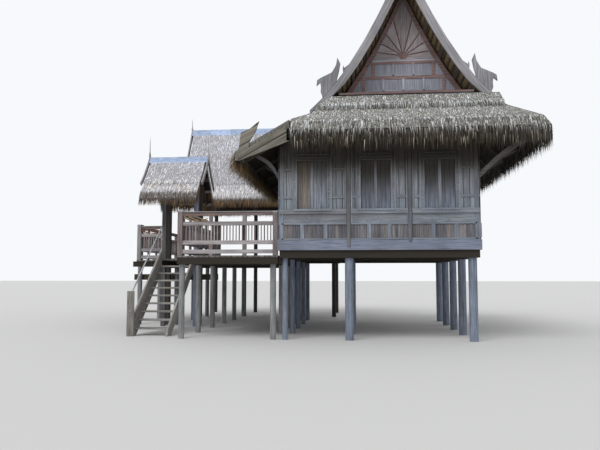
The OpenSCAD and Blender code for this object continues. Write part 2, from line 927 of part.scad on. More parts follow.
// Bowed bracket from a wall face at x0 to the underside of the rafters at x1
module bracket(y, x0, x1, under) {
    side = x1 > x0 ? 1 : -1;
    low = [x0, bracket_foot_z];
    high = [x0, bracket_foot_z + bracket_foot_h];
    outer = [x1 + side * bracket_head_w, lookup(x1 + side * bracket_head_w, under)];
    inner = [x1, lookup(x1, under)];
    prism_y(y - bracket_w / 2, y + bracket_w / 2,
        concat(bowed(low, outer, side * bracket_bow, 6), bowed(inner, high, -side * bracket_bow, 6)));
}

module eave_brackets() {
    color(beam_colour)
        for (row = [0:row_count - 1]) {
            bracket(row * row_pitch, left_face_x - framing_t, left_face_x - left_bracket_reach, sunk(lean_to_under, rafter_h));
            bracket(row * row_pitch, right_face_x + framing_t, right_bracket_x, reversed(sunk(right_under, rafter_h)));
        }
}

// Terrace in front of the aisle and behind the gate
deck_under = deck_top - deck_t;
deck_beam_under = deck_under - deck_beam_h;
deck_post_r = deck_post_d / 2;
terrace_x1 = left_face_x - edge_board_t;
terrace_x0 = terrace_x1 - terrace_w;
terrace_y0 = front_y;
far_deck_x0 = terrace_x0 - far_deck_w;
far_deck_y0 = 4240;
rear_ridge_y = 9840;
rear_front_y = rear_ridge_y - rear_depth / 2;
rear_back_y = rear_ridge_y + rear_depth / 2;
rear_edge = 150;
rear_post_r = 80;
gate_x0 = -5910;
gate_x1 = gate_x0 + gate_post_gap;
gate_y = 3915;
terrace_y1 = rear_front_y - rear_post_r;
landing_x0 = gate_x0 - gate_post_w / 2 - 20;
landing_x1 = gate_x1 + gate_post_w / 2 + 20;
landing_y0 = 2840;

terrace_posts_x = [terrace_x0 + deck_post_r + 20, terrace_x1 - deck_post_r - 60];
far_posts_x = [far_deck_x0 + deck_post_r + 20, (far_deck_x0 + terrace_x0) / 2];
far_rows = [far_deck_y0 + deck_post_r + 20, (far_deck_y0 + terrace_y1) / 2, terrace_y1 - deck_post_r - 20];
front_rows = concat([for (row = [0:row_count - 1]) row * row_pitch], [terrace_y1 - deck_post_r - 20]);

module terrace_posts() {
    color(post_colour) {
        for (x = terrace_posts_x, y = front_rows)
            post_at(x, y, deck_post_r, deck_beam_under);
        for (x = far_posts_x, y = far_rows)
            post_at(x, y, deck_post_r, deck_beam_under);
    }
}

deck_beam_w = 120;
fascia_t = 45;
beam_reach = 130;
low_girder_z = 1630;
low_girder_h = 190;
low_girder_t = 60;

module terrace_beams() {
    color(beam_colour) {
        for (y = front_rows)
            box([terrace_x0, y - deck_beam_w / 2, deck_beam_under],
                [y > last_y ? terrace_x1 : aisle_x - aisle_post_r, y + deck_beam_w / 2, deck_under]);
        box([terrace_x0, terrace_y0, deck_beam_under], [terrace_x1, terrace_y0 + fascia_t, deck_under]);
        for (y = far_rows)
            box([far_deck_x0 - beam_reach, y - deck_beam_w / 2, deck_beam_under],
                [terrace_x0 - 5, y + deck_beam_w / 2, deck_under]);
        box([far_deck_x0 - beam_reach, far_rows[0] + deck_post_r, low_girder_z - low_girder_h],
            [terrace_x0, far_rows[0] + deck_post_r + low_girder_t, low_girder_z]);
        for (x = [gate_x0 + gate_post_w / 2, gate_x1 - gate_post_w / 2 - 60])
            box([x, landing_y0, deck_beam_under], [x + 60, far_rows[0] - deck_beam_w / 2 - joint, deck_under]);
    }
}

module deck_field(x0, y0, x1, y1) {
    translate([x0, y0])
        square([x1 - x0, y1 - y0]);
}

module terrace_deck() {
    color(wall_colour)
        translate([0, 0, deck_under])
            linear_extrude(height = deck_t)
                difference() {
                    union() {
                        deck_field(terrace_x0, terrace_y0, terrace_x1, terrace_y1);
                        deck_field(far_deck_x0, far_deck_y0, terrace_x0 - joint, terrace_y1);
                        deck_field(landing_x0, landing_y0, landing_x1, far_deck_y0 - joint);
                    }
                    for (x = [gate_x0, gate_x1], y = [gate_y - gate_depth / 2, gate_y + gate_depth / 2])
                        translate([x, y])
                            square(gate_post_w + post_play, center = true);
                }
}

// One straight railing from the origin along X, standing on the deck
rail_post_w = 130;
rail_post_rise = 45;
rail_t = 60;
top_rail_h = 110;
rail_stub_w = 90;
rail_bay = 1250;
baluster_w = 30;
baluster_t = 25;

module railing(length) {
    rails = [[50, 150], [280, 380], [760, 860], [railing_h - top_rail_h, railing_h]];
    bays = max(1, round(length / rail_bay));
    translate([0, 0, deck_top]) {
        for (rail = rails)
            translate([0, -rail_t / 2, rail[0]])
                cube([length, rail_t, rail[1] - rail[0]]);
        for (i = [0, 1])
            translate([i * (length - rail_post_w), -rail_post_w / 2, 0])
                cube([rail_post_w, rail_post_w, railing_h + (1 - i) * rail_post_rise]);
        for (i = [1:1:bays - 1], gap = [[0, rails[0][0]], [rails[0][1], rails[1][0]], [rails[2][1], rails[3][0]]])
            translate([length * i / bays - rail_stub_w / 2, -rail_t / 2, gap[0]])
                cube([rail_stub_w, rail_t, gap[1] - gap[0]]);
        for (x = [baluster_pitch + rail_post_w:baluster_pitch:length - rail_post_w - baluster_w])
            translate([x, -baluster_t / 2, rails[1][1]])
                cube([baluster_w, baluster_t, rails[2][0] - rails[1][1]]);
    }
}

module front_railing() {
    color(frame_colour)
        translate([terrace_x0, terrace_y0 + rail_post_w / 2, 0])
            railing(terrace_w - joint);
}

module side_railing() {
    color(frame_colour)
        translate([terrace_x0 + rail_post_w / 2, terrace_y0 + rail_post_w + 5, 0])
            rotate([0, 0, 90])
                railing(far_deck_y0 - terrace_y0 - rail_post_w - 5);
}

module far_railing() {
    color(frame_colour) {
        translate([far_deck_x0, far_deck_y0 + rail_post_w / 2, 0])
            railing(landing_x0 - far_deck_x0);
        translate([far_deck_x0 + rail_post_w / 2, far_deck_y0 + rail_post_w + 5, 0])
            rotate([0, 0, 90])
                railing(terrace_y1 - far_deck_y0 - rail_post_w - 5);
    }
}

// Open stair up to the landing under the gate
step_count = round(deck_top / riser);
stair_x0 = -5700;
stair_x1 = stair_x0 + tread_w;
stair_top_y = landing_y0;
stair_foot_y = stair_top_y - (step_count - 1) * going;
stringer_t = 55;
stringer_h = 410;
stringer_foot = 150;
left_stringer_rise = 300;

// Board beside the steps whose upper edge stands a rise over their noses
module stringer(x, rise) {
    prism_x(x, x + stringer_t, [[stair_foot_y - stringer_foot, 0], [stair_foot_y + stringer_foot, 0],
        [stair_top_y, deck_top - stringer_h], [stair_top_y, deck_top - 10 + rise],
        [stair_foot_y - stringer_foot, riser * 0.75 + rise]]);
}

module stair_stringers() {
    color(wall_colour) {
        stringer(stair_x0 - stringer_t, left_stringer_rise);
        stringer(stair_x1, 0);
    }
}

module stair_treads() {
    color(wall_colour)
        for (i = [1:step_count - 1])
            box([stair_x0, stair_foot_y + (i - 1) * going, i * riser - tread_t],
                [stair_x1, min(stair_top_y, stair_foot_y + i * going + 20), i * riser]);
}

// Board that stands at the left foot of the stair, and the round handrail above it
newel_w = 190;
newel_t = 50;
newel_top = 1180;
handrail_r = 21;
handrail_top = 3100;
handrail_y1 = stair_top_y + 30;

module stair_rails() {
    newel_y = stair_foot_y - stringer_foot;
    rail_x = stair_x0 - stringer_t / 2;
    color(post_colour) {
        box([rail_x - newel_w * 0.6, newel_y - newel_t, 0], [rail_x + newel_w * 0.4, newel_y - joint, newel_top]);
        translate([rail_x, newel_y - newel_t / 2, newel_top - 40])
            rotate([-atan2(handrail_y1 - newel_y + newel_t / 2, handrail_top - newel_top + 40), 0, 0])
                cylinder(r = handrail_r, h = norm([handrail_y1 - newel_y + newel_t / 2, handrail_top - newel_top + 40]), $fn = 24);
        translate([rail_x, handrail_y1, deck_top])
            cylinder(r = handrail_r, h = handrail_top - deck_top, $fn = 24);
    }
}

// Gate on four square posts over the landing
gate_roof = [gate_ridge_z, 1.5, 0.0004];
gate_half = 750;
gate_steps = 5;
gate_roof_x0 = -6500;
gate_roof_x1 = -4600;
gate_thatch_t = 110;
gate_beam_h = 110;
gate_skirt = [[gate_half - 50, 4480], [1010, 4180], [1180, 3960]];
gate_skirt_t = 170;
gate_fringe_z = 3760;
cross_rafter_h = 80;

// Upper edge of a rafter: under the steep thatch, then under the flared lower course
function rafter_line(shape, half, t, lower, lower_t, n) =
    let (steep = sag_line(shape, joint, half, n, t), meet = lower[0][0] - 1)
        concat([for (p = steep) if (p[0] < meet) p], [[meet, lookup(meet, steep)]], sunk([lower[0], lower[1]], lower_t));
gate_rafter = rafter_line(gate_roof, gate_half, gate_thatch_t, gate_skirt, gate_skirt_t, gate_steps);
gate_beam_w = 100;
gate_beam_top = lookup(gate_depth / 2 + gate_beam_w / 2, gate_rafter) - cross_rafter_h - joint;
gate_post_top = gate_beam_top - gate_beam_h - joint;

// Rafter pair under a roof whose ridge runs along X
module cross_rafters(x, w, mid_y, line) {
    for (side = [0, 1])
        translate([0, mid_y, 0])
            mirror([0, side, 0])
                prism_x(x - w / 2, x + w / 2, concat(line, reversed(sunk(line, cross_rafter_h))));
}

module gate_frame() {
    low_y = gate_y - gate_depth / 2;
    high_y = gate_y + gate_depth / 2;
    color(post_colour) {
        for (x = [gate_x0, gate_x1], y = [low_y, high_y])
            box([x - gate_post_w / 2, y - gate_post_w / 2, 0], [x + gate_post_w / 2, y + gate_post_w / 2, gate_post_top]);
        for (y = [low_y, high_y])
            box([gate_roof_x0 + 30, y - gate_beam_w / 2, gate_post_top + joint],
                [gate_roof_x1 - 30, y + gate_beam_w / 2, gate_beam_top]);
        for (x = [gate_x0, gate_x1])
            box([x - gate_beam_w / 2, low_y + gate_beam_w / 2 + joint, gate_post_top + joint],
                [x + gate_beam_w / 2, high_y - gate_beam_w / 2 - joint, gate_beam_top]);
        for (x = [gate_x0, gate_x1])
            cross_rafters(x, 60, gate_y, gate_rafter);
    }
}

// Thatch on both sides of a ridge that runs along X: a steep part and a flared lower course
module cross_thatch(x0, x1, mid_y, shape, half, t, lower, lower_t, fringe, n) {
    steep = sag_line(shape, joint, half, n, 0);
    steep_under = sag_line(shape, joint, half, n, t);
    last = lower[len(lower) - 1];
    for (side = [0, 1])
        translate([0, mid_y, 0])
            mirror([0, side, 0])
                union() {
                    prism_x(x0, x1, concat(steep, reversed(steep_under)));
                    prism_x(x0, x1, concat(lower, [[last[0], fringe], [last[0] - 160, fringe]],
                        reversed(sunk([for (i = [0:len(lower) - 2]) lower[i]], lower_t))));
                }
}

module gate_thatch() {
    color(thatch_colour)
        cross_thatch(gate_roof_x0, gate_roof_x1, gate_y, gate_roof, gate_half, gate_thatch_t, gate_skirt, gate_skirt_t, gate_fringe_z, gate_steps);
}

// Open rear house across the end of the terrace
rear_x0 = -6000;
rear_x1 = rear_x0 + rear_bays * rear_pitch;
rear_roof = [rear_ridge_z, 2.15, 0.0003];
rear_half = 1450;
rear_steps = 6;
rear_roof_x0 = rear_x0 - 750;
rear_roof_x1 = rear_x1 + 750;
rear_plate_h = 120;
rear_lower = [[1300, 5330], [1750, 4830], [2000, 4560]];
rear_lower_t = 240;
rear_fringe_z = 4220;
rear_rafter = rafter_line(rear_roof, rear_half, thatch_t, rear_lower, rear_lower_t, rear_steps);
rear_plate_top = lookup(rear_depth / 2 + 60, rear_rafter) - cross_rafter_h;
rear_post_top = rear_plate_top - rear_plate_h - joint;
rear_girder_t = 50;

module rear_frame() {
    color(post_colour) {
        for (i = [0:rear_bays], y = [rear_front_y, rear_back_y])
            post_at(rear_x0 + i * rear_pitch, y, rear_post_r, rear_post_top);
    }
    color(beam_colour)
        for (y = [rear_front_y, rear_back_y])
            box([rear_roof_x0 + 100, y - 60, rear_plate_top - rear_plate_h], [rear_roof_x1 - 100, y + 60, rear_plate_top - joint]);
    color(beam_colour)
        for (i = [0:rear_bays])
            cross_rafters(rear_x0 + i * rear_pitch, 70, rear_ridge_y, rear_rafter);
    color(beam_colour)
        for (y = [rear_front_y, rear_back_y], side = [-1, 1])
            translate([rear_x0 - rear_edge, y + side * (rear_post_r + joint + rear_girder_t / 2) - rear_girder_t / 2, deck_top])
                cube([rear_x1 - rear_x0 + 2 * rear_edge, rear_girder_t, rear_floor_top - floor_t - deck_top]);
}

module rear_floor() {
    color(wall_colour)
        difference() {
            box([rear_x0 - rear_edge, rear_front_y - rear_edge, rear_floor_top - floor_t],
                [rear_x1 + rear_edge, rear_back_y + rear_edge, rear_floor_top]);
            for (i = [0:rear_bays], y = [rear_front_y, rear_back_y])
                post_at(rear_x0 + i * rear_pitch, y, rear_post_r + post_play, rear_floor_top + 1);
        }
}

module rear_thatch() {
    color(thatch_colour)
        cross_thatch(rear_roof_x0, rear_roof_x1, rear_ridge_y, rear_roof, rear_half, thatch_t, rear_lower, rear_lower_t, rear_fringe_z, rear_steps);
}

// Bargeboards of the gate and the rear house
small_board_t = 45;

module cross_bargeboard(x, mid_y, shape, half, w, n) {
    line = sag_line(shape, joint, half, n, -20);
    inner = sag_line(shape, joint, half - 60, n, w);
    for (side = [0, 1])
        translate([0, mid_y, 0])
            mirror([0, side, 0])
                prism_x(x, x + small_board_t, concat(line, reversed(inner)));
}

module small_bargeboards() {
    color(wall_colour) {
        for (x = [gate_roof_x0 - small_board_t, gate_roof_x1])
            cross_bargeboard(x, gate_y, gate_roof, gate_half + 60, 90, 6);
        for (x = [rear_roof_x0 - small_board_t, rear_roof_x1])
            cross_bargeboard(x, rear_ridge_y, rear_roof, rear_half + 60, 130, 7);
    }
}

// Folded metal sheets over the ridges
sheet_t = 12;
cap_h = 200;

module ridge_fold(line, reach) {
    peak = peak_z(line);
    edge = lookup(reach, line);
    polygon([[0, peak], [reach, edge], [reach, edge + sheet_t], [0, peak + sheet_t * 2],
        [-reach, edge + sheet_t], [-reach, edge]]);
}

module ridge_caps() {
    color(sheet_colour) {
        translate([ridge_x, roof_y1 - 30, 0])
            rotate([90, 0, 0])
                linear_extrude(height = roof_y1 - roof_y0 - 60)
                    ridge_fold(thatch_line, 110);
        translate([gate_roof_x0, gate_y, 0])
            rotate([90, 0, 90])
                linear_extrude(height = gate_roof_x1 - gate_roof_x0)
                    ridge_fold(sag_line(gate_roof, joint, gate_half, gate_steps, 0), 120);
        translate([rear_roof_x0, rear_ridge_y, 0])
            rotate([90, 0, 90])
                linear_extrude(height = rear_roof_x1 - rear_roof_x0)
                    ridge_fold(sag_line(rear_roof, joint, rear_half, rear_steps, 0), 110);
    }
}

// Slender spikes over the gables
module spike(h, r) {
    rotate_extrude($fn = 32)
        polygon([[0, 0], [r, 0], [r * 1.2, h * 0.12], [r * 0.5, h * 0.3], [r * 0.3, h * 0.7], [0, h]]);
}

// Spike whose foot is notched over a peak of the given slope
module notched_spike(h, r, slope) {
    difference() {
        translate([0, 0, -r * slope])
            spike(h + r * slope, r);
        rotate([90, 0, 90])
            translate([0, 0, -2 * r])
                linear_extrude(height = 4 * r)
                    polygon([[0, 0], [2 * r, -2 * r * slope], [-2 * r, -2 * r * slope]]);
    }
}

module finial_on(line, h, r) {
    translate([0, 0, peak_z(line)])
        notched_spike(h, r, peak_slope(line));
}

module finials() {
    color(post_colour) {
        for (x = [gate_roof_x0 - small_board_t / 2, gate_roof_x1 + small_board_t / 2])
            translate([x, gate_y, 0])
                finial_on(sag_line(gate_roof, joint, gate_half + 60, 6, -20), 700, 28);
        for (x = [rear_roof_x0 - small_board_t / 2, rear_roof_x1 + small_board_t / 2])
            translate([x, rear_ridge_y, 0])
                finial_on(sag_line(rear_roof, joint, rear_half + 60, 7, -20), 480, 32);
        for (y = [roof_y0 - bargeboard_t / 2, roof_y1 + bargeboard_t / 2])
            translate([ridge_x, y, 0])
                rotate([0, 0, 90])
                    finial_on(barge_line, 520, 40);
    }
}

house_posts();
house_girders();
house_joists();
house_floor();
floor_boards();
front_wall();
back_wall();
left_wall();
door_head();
right_wall();
front_framing();
back_framing();
side_framing();
shutters();
wall_pilasters();
wall_plates();
roof_trusses();
roof_purlins();
gable_boards();
sunbursts();
bargeboards();
bargeboard_ends();
left_roof_thatch();
right_roof_thatch();
upper_skirts();
front_skirt();
back_skirt();
right_skirt();
lean_to_thatch();
lean_to_verges();
skirt_rafters();
eave_brackets();
terrace_posts();
terrace_beams();
terrace_deck();
front_railing();
side_railing();
far_railing();
stair_stringers();
stair_treads();
stair_rails();
gate_frame();
gate_thatch();
rear_frame();
rear_floor();
rear_thatch();
small_bargeboards();
ridge_caps();
finials();
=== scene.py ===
"""Looks of a thatched timber stilt house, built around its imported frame."""

import logging
import math
import random
from dataclasses import dataclass, replace
from enum import Enum
from typing import Callable, Iterable, Optional, Union

import bmesh
import bpy
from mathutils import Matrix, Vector


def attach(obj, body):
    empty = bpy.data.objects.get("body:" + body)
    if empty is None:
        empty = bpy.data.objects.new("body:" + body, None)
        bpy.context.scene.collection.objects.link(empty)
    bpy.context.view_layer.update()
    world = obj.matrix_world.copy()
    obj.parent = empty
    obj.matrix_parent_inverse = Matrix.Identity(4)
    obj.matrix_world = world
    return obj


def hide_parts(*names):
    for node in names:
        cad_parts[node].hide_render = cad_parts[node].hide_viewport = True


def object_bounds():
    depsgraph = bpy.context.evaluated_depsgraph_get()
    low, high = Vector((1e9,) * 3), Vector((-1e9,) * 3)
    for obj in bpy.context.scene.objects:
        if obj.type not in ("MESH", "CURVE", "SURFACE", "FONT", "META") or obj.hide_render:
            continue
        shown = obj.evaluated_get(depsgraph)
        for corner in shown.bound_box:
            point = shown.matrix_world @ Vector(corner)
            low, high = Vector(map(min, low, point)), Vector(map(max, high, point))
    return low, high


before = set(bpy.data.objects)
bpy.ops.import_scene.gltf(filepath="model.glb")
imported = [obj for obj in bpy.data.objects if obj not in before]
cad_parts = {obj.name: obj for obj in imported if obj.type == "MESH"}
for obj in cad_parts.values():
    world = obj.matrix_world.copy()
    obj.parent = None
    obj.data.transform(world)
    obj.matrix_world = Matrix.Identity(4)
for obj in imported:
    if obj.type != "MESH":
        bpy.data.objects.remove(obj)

CAD_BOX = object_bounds()
BODY = "root"
LOG = logging.getLogger("stilt_house")

BOARDS = "weathered_boards"
GREY_POSTS = "grey_post_timber"
DARK_BEAMS = "dark_beam_timber"
BROWN = "brown_timber"
THATCH = "thatch"
SHEETS = "ridge_sheet"

Span = tuple[float, float]
Triple = tuple[float, float, float]
Colour = Triple
Box = tuple[Vector, Vector]
Mesh = bpy.types.Mesh
Shape = bmesh.types.BMesh
Facet = bmesh.types.BMFace
Ring = list[bmesh.types.BMVert]
Tones = bmesh.types.BMLayerItem


class Term:
    """A value in a node tree; the operators on it add Math nodes."""

    def __init__(self, graph: "Graph", socket: bpy.types.NodeSocket) -> None:
        """Wraps one output socket of a graph."""
        self.graph = graph
        self.socket = socket

    def _math(self, operation: str, *terms: "Value") -> "Term":
        """Adds a Math node that works on the terms in their order."""
        return self.graph.node("ShaderNodeMath", {"operation": operation}, dict(enumerate(terms)))

    def __add__(self, other: "Value") -> "Term":
        """Sum."""
        return self._math("ADD", self, other)

    __radd__ = __add__

    def __sub__(self, other: "Value") -> "Term":
        """Difference."""
        return self._math("SUBTRACT", self, other)

    def __rsub__(self, other: "Value") -> "Term":
        """Difference with the number first."""
        return self._math("SUBTRACT", other, self)

    def __mul__(self, other: "Value") -> "Term":
        """Product."""
        return self._math("MULTIPLY", self, other)

    __rmul__ = __mul__

    def __truediv__(self, other: "Value") -> "Term":
        """Quotient."""
        return self._math("DIVIDE", self, other)

    def __gt__(self, other: "Value") -> "Term":
        """1 where this value is the greater, else 0."""
        return self._math("GREATER_THAN", self, other)

    def __lt__(self, other: "Value") -> "Term":
        """1 where this value is the smaller, else 0."""
        return self._math("LESS_THAN", self, other)

    def larger(self, other: "Value") -> "Term":
        """The larger of two values."""
        return self._math("MAXIMUM", self, other)

    def floor(self) -> "Term":
        """Whole part."""
        return self._math("FLOOR", self)

    def fraction(self) -> "Term":
        """Part after the whole number."""
        return self._math("FRACT", self)

    def size(self) -> "Term":
        """Absolute value."""
        return self._math("ABSOLUTE", self)

    def step(self, low: float, high: float) -> "Term":
        """Smooth rise from 0 at low to 1 at high; a fall where low is the larger.

        Args:
            low: value of the term at which the result is 0.
            high: value of the term at which the result is 1.

        Returns:
            The rise, held between 0 and 1.
        """
        first, last = (0.0, 1.0) if low < high else (1.0, 0.0)
        return self.graph.node(
            "ShaderNodeMapRange",
            {"interpolation_type": "SMOOTHSTEP"},
            {0: self, 1: min(low, high), 2: max(low, high), 3: first, 4: last},
        )

    def vector(self, operation: str, other: Union["Term", tuple]) -> "Term":
        """Adds a Vector Math node on this vector and another."""
        return self.graph.node("ShaderNodeVectorMath", {"operation": operation}, {0: self, 1: other})

    def scaled(self, factor: "Value") -> "Term":
        """This vector or colour times a number."""
        return self.graph.node("ShaderNodeVectorMath", {"operation": "SCALE"}, {0: self, "Scale": factor})

    def part(self, axis: str) -> "Term":
        """One coordinate of a vector, X, Y or Z."""
        return self.graph.node("ShaderNodeSeparateXYZ", {}, {0: self}, axis)


Value = Union[Term, float]


class Graph:
    """A node tree of a material or a modifier, filled by one method."""

    def __init__(self, tree: bpy.types.NodeTree) -> None:
        """Takes an empty tree."""
        self.tree = tree

    def node(
        self,
        kind: str,
        settings: Optional[dict] = None,
        values: Optional[dict] = None,
        out: Union[int, str] = 0,
    ) -> Optional[Term]:
        """Adds a node.

        Args:
            kind: type of the node.
            settings: properties that are set first; stops fills a colour ramp.
            values: numbers or terms for its sockets, by name or place.
            out: the output that is handed on.

        Returns:
            The output as a term, or None where the node has none.
        """
        made = self.tree.nodes.new(kind)
        for name, value in (settings or {}).items():
            if name == "stops":
                self._fill_ramp(made.color_ramp, value)
            else:
                setattr(made, name, value)
        for key, value in (values or {}).items():
            socket = made.inputs[key]
            if isinstance(value, Term):
                self.tree.links.new(value.socket, socket)
            elif socket.type == "RGBA" and len(value) == 3:
                socket.default_value = (*value, 1.0)
            else:
                socket.default_value = value
        return Term(self, made.outputs[out]) if len(made.outputs) else None

    @staticmethod
    def _fill_ramp(ramp: bpy.types.ColorRamp, stops: Iterable[tuple[float, Colour]]) -> None:
        """Sets the stops of a colour ramp."""
        for index, (place, colour) in enumerate(stops):
            stop = ramp.elements[index] if index < 2 else ramp.elements.new(place)
            stop.position = place
            stop.color = (*colour, 1.0)

    def noise(self, where: Term, scale: float, detail: float = 4.0, rough: float = 0.55) -> Term:
        """Noise between 0 and 1 at a place."""
        values = {"Vector": where, "Scale": scale, "Detail": detail, "Roughness": rough}
        return self.node("ShaderNodeTexNoise", {}, values, 0)

    def blend(self, share: Value, first: Union[Term, Colour], second: Union[Term, Colour]) -> Term:
        """Colour between two others, at a share of the second."""
        settings = {"data_type": "RGBA", "clamp_factor": True}
        return self.node("ShaderNodeMix", settings, {0: share, 6: first, 7: second}, 2)

    def attribute(self, name: str) -> Term:
        """A number that a piece's mesh carries, for its material."""
        return self.node("ShaderNodeAttribute", {"attribute_name": name}, out="Fac")

    def combined(self, x: Value = 0.0, y: Value = 0.0, z: Value = 0.0) -> Term:
        """A vector of three values."""
        return self.node("ShaderNodeCombineXYZ", {}, {0: x, 1: y, 2: z})

    def bump(self, strength: float, distance: float, height: Term) -> Term:
        """A normal that follows a height."""
        return self.node("ShaderNodeBump", {}, {"Strength": strength, "Distance": distance, "Height": height})

    def chance(self, low: float, high: float, seed: Value) -> Term:
        """A random number of each point, between two bounds."""
        values = {2: low, 3: high, "Seed": seed}
        return self.node("FunctionNodeRandomValue", {"data_type": "FLOAT"}, values, 1)

    def keep(self, geometry: Term, domain: str, name: str, value: Value) -> Term:
        """Keeps a number on each point or instance of a geometry."""
        settings = {"data_type": "FLOAT", "domain": domain}
        values = {"Geometry": geometry, "Name": name, "Value": value}
        return self.node("GeometryNodeStoreNamedAttribute", settings, values)

    def read(self, name: str, kind: str) -> Term:
        """What the points of a geometry carry under a name, as the given type."""
        return self.node("GeometryNodeInputNamedAttribute", {"data_type": kind}, {"Name": name}, "Attribute")


class Finish:
    """Base of the surface finishes: a material whose graph a subclass fills."""

    name: str

    def paint(self, graph: Graph, place: Term) -> dict[str, Value]:
        """Gives the surface's values; a subclass fills it."""
        raise NotImplementedError

    def material(self) -> bpy.types.Material:
        """Makes the material, or hands back the one that was made before.

        Returns:
            The material with its nodes.
        """
        known = bpy.data.materials.get(self.name)
        if known:
            return known
        made = bpy.data.materials.new(self.name)
        made.use_nodes = True
        made.node_tree.nodes.clear()
        graph = Graph(made.node_tree)
        place = graph.node("ShaderNodeTexCoord", out="Object")
        surface = graph.node("ShaderNodeBsdfPrincipled", {}, self.paint(graph, place))
        graph.node("ShaderNodeOutputMaterial", {}, {"Surface": surface})
        return made


class Grain(Enum):
    """Direction of the fibres, as the stretch of the pattern along each axis."""

    ALONG_X = (0.9, 26.0, 26.0)
    ALONG_Y = (26.0, 0.9, 26.0)
    UPRIGHT = (26.0, 26.0, 0.9)


@dataclass(frozen=True)
class Seams:
    """Joints between boards that lie side by side.

    Attributes:
        axis: axis across the boards, where they follow no sloping line.
        pitch: width of a board.
        gap: half the width of the dark line between two boards.
        spread: how much the boards differ in tone.
    """

    axis: str
    pitch: float
    gap: float = 0.008
    spread: float = 0.5

    def split(self, graph: Graph, across: Term) -> tuple[Term, Term]:
        """Splits a surface in boards.

        Args:
            graph: the material's graph.
            across: distance across the boards.

        Returns:
            The tone of each board, and 1 in the line between two boards.
        """
        run = across / self.pitch
        own = graph.node("ShaderNodeTexWhiteNoise", {"noise_dimensions": "1D"}, {"W": run.floor()})
        edge = 0.5 - self.gap / self.pitch
        line = (run.fraction() - 0.5).size().step(edge - 0.02, edge)
        return own * self.spread + (1.0 - self.spread / 2), line


@dataclass(frozen=True)
class Rake:
    """A line that falls from a ridge, or from the upper end of a stair.

    Attributes:
        axis: axis along which it falls.
        ridge: where it begins on that axis.
        top: its height there.
        slope: its fall for each metre.
        curve: what it rises again with the square of the run.
    """

    axis: str
    ridge: float
    top: float
    slope: float
    curve: float = 0.0

    def height(self, run: float) -> float:
        """Height of the line at a run from its ridge."""
        return self.top - self.slope * run + self.curve * run * run

    def steepness(self, run: float) -> float:
        """Angle of the line at a run from its ridge."""
        return math.atan(self.slope - 2.0 * self.curve * run)

    def unroll(self, graph: Graph, place: Term) -> Term:
        """Place with its distance above the line as the first coordinate, squeezed by ACROSS."""
        run = (place.part(self.axis) - self.ridge).size()
        above = place.part("Z") - self.top + run * self.slope - run * run * self.curve
        other = place.part("Y" if self.axis == "X" else "X")
        return graph.combined(above * ACROSS, other, place.part("Z"))


# Stretch of a pattern across the fibres that follow a sloping line
ACROSS = 0.6
# Painted shade: height from which wood is painted warmer towards its shaded band, and the colours of that
# shade; then the colour of moss
SHADE_WARM_FROM = 3.1
SHADE_WARMING: Colour = (1.06, 0.96, 0.84)
SHADE_DARK: Colour = (0.022, 0.016, 0.01)
MOSS: Colour = (0.085, 0.1, 0.045)


@dataclass(frozen=True)
class Timber(Finish):
    """Bare weathered wood with fibres, checks, stains, moss and, where asked, board joints and painted shade.

    Attributes:
        base: start of the material's name.
        pale: the fibres' lighter colour.
        dark: their darker colour.
        warm: colour of the stains.
        grain: direction of the fibres.
        warm_share: strength of the stains.
        moss: strength of the moss.
        seams: joints between boards.
        painted_shade: heights between which the wood is painted dark and warm as shade, under the eaves or
            the deck.
        rake: a roof line that the fibres follow.
        roughness: the surface's roughness.
    """

    base: str
    pale: Colour
    dark: Colour
    warm: Colour
    grain: Grain = Grain.UPRIGHT
    warm_share: float = 0.25
    moss: float = 0.0
    seams: Optional[Seams] = None
    painted_shade: Optional[Span] = None
    rake: Optional[Rake] = None
    roughness: float = 0.82

    @property
    def name(self) -> str:
        """Name of the finish with its grain."""
        return f"{self.base}_{self.grain.name.lower()}"

    def along(self, grain: Grain) -> "Timber":
        """The same wood with its fibres in another direction, unless they follow a roof line."""
        return self if self.rake else replace(self, grain=grain)

    def paint(self, graph: Graph, place: Term) -> dict[str, Value]:
        """Mixes the fibres, the stains, the joints, the moss and the painted shade.

        Args:
            graph: the material's graph.
            place: the place on the object.

        Returns:
            The values of the surface.
        """
        tone = graph.attribute("tone")
        laid = self.rake.unroll(graph, place) if self.rake else place
        own_place = graph.combined(tone * 9.0, tone * 5.0, tone * 7.0)
        drawn = laid.vector("MULTIPLY", self.grain.value).vector("ADD", own_place)
        fibre = graph.noise(drawn, 2.2, 6.0, 0.62)
        broad = graph.noise(place.vector("ADD", (3.1, 7.7, 1.3)), 1.3, 3.0)
        patch = graph.noise(drawn.vector("ADD", (11.0, 5.0, 9.0)), 0.24, 3.0)
        colour = graph.blend(fibre.step(0.3, 0.72), self.dark, self.pale)
        colour = graph.blend(patch.step(0.5, 0.78) * self.warm_share * 2.0, colour, self.warm)
        shade = (broad.step(0.25, 0.75) * 0.3 + 0.8) * (tone * 0.4 + 0.8)
        height = fibre * 0.7
        if self.seams:
            across = laid.part("X") / ACROSS if self.rake else place.part(self.seams.axis)
            board, line = self.seams.split(graph, across)
            shade = shade * board * (1.0 - line * 0.75)
            height = height - line * 3.0
        colour = colour.scaled(shade)
        if self.moss:
            spot = graph.noise(place, 5.0, 5.0).step(0.5, 0.66)
            colour = graph.blend(spot * self.moss, colour, MOSS)
        # Painted shade: the wood turns warmer and then near-black towards its shaded band
        if self.painted_shade:
            shade_warmth = place.part("Z").step(SHADE_WARM_FROM, self.painted_shade[1])
            colour = graph.blend(shade_warmth, colour, colour.vector("MULTIPLY", SHADE_WARMING))
            shade_share = (place.part("Z") + broad * 0.3).step(*self.painted_shade)
            colour = graph.blend(shade_share * 0.93, colour, SHADE_DARK)
        check = graph.noise(drawn.vector("ADD", (1.0, 2.0, 3.0)), 1.15, 2.0).step(0.36, 0.3)
        colour = graph.blend(check * 0.55, colour, tuple(c * 0.35 for c in self.dark))
        normal = graph.bump(0.45, 0.006, height - check)
        return {"Base Color": colour, "Roughness": self.roughness + fibre * 0.1, "Normal": normal}


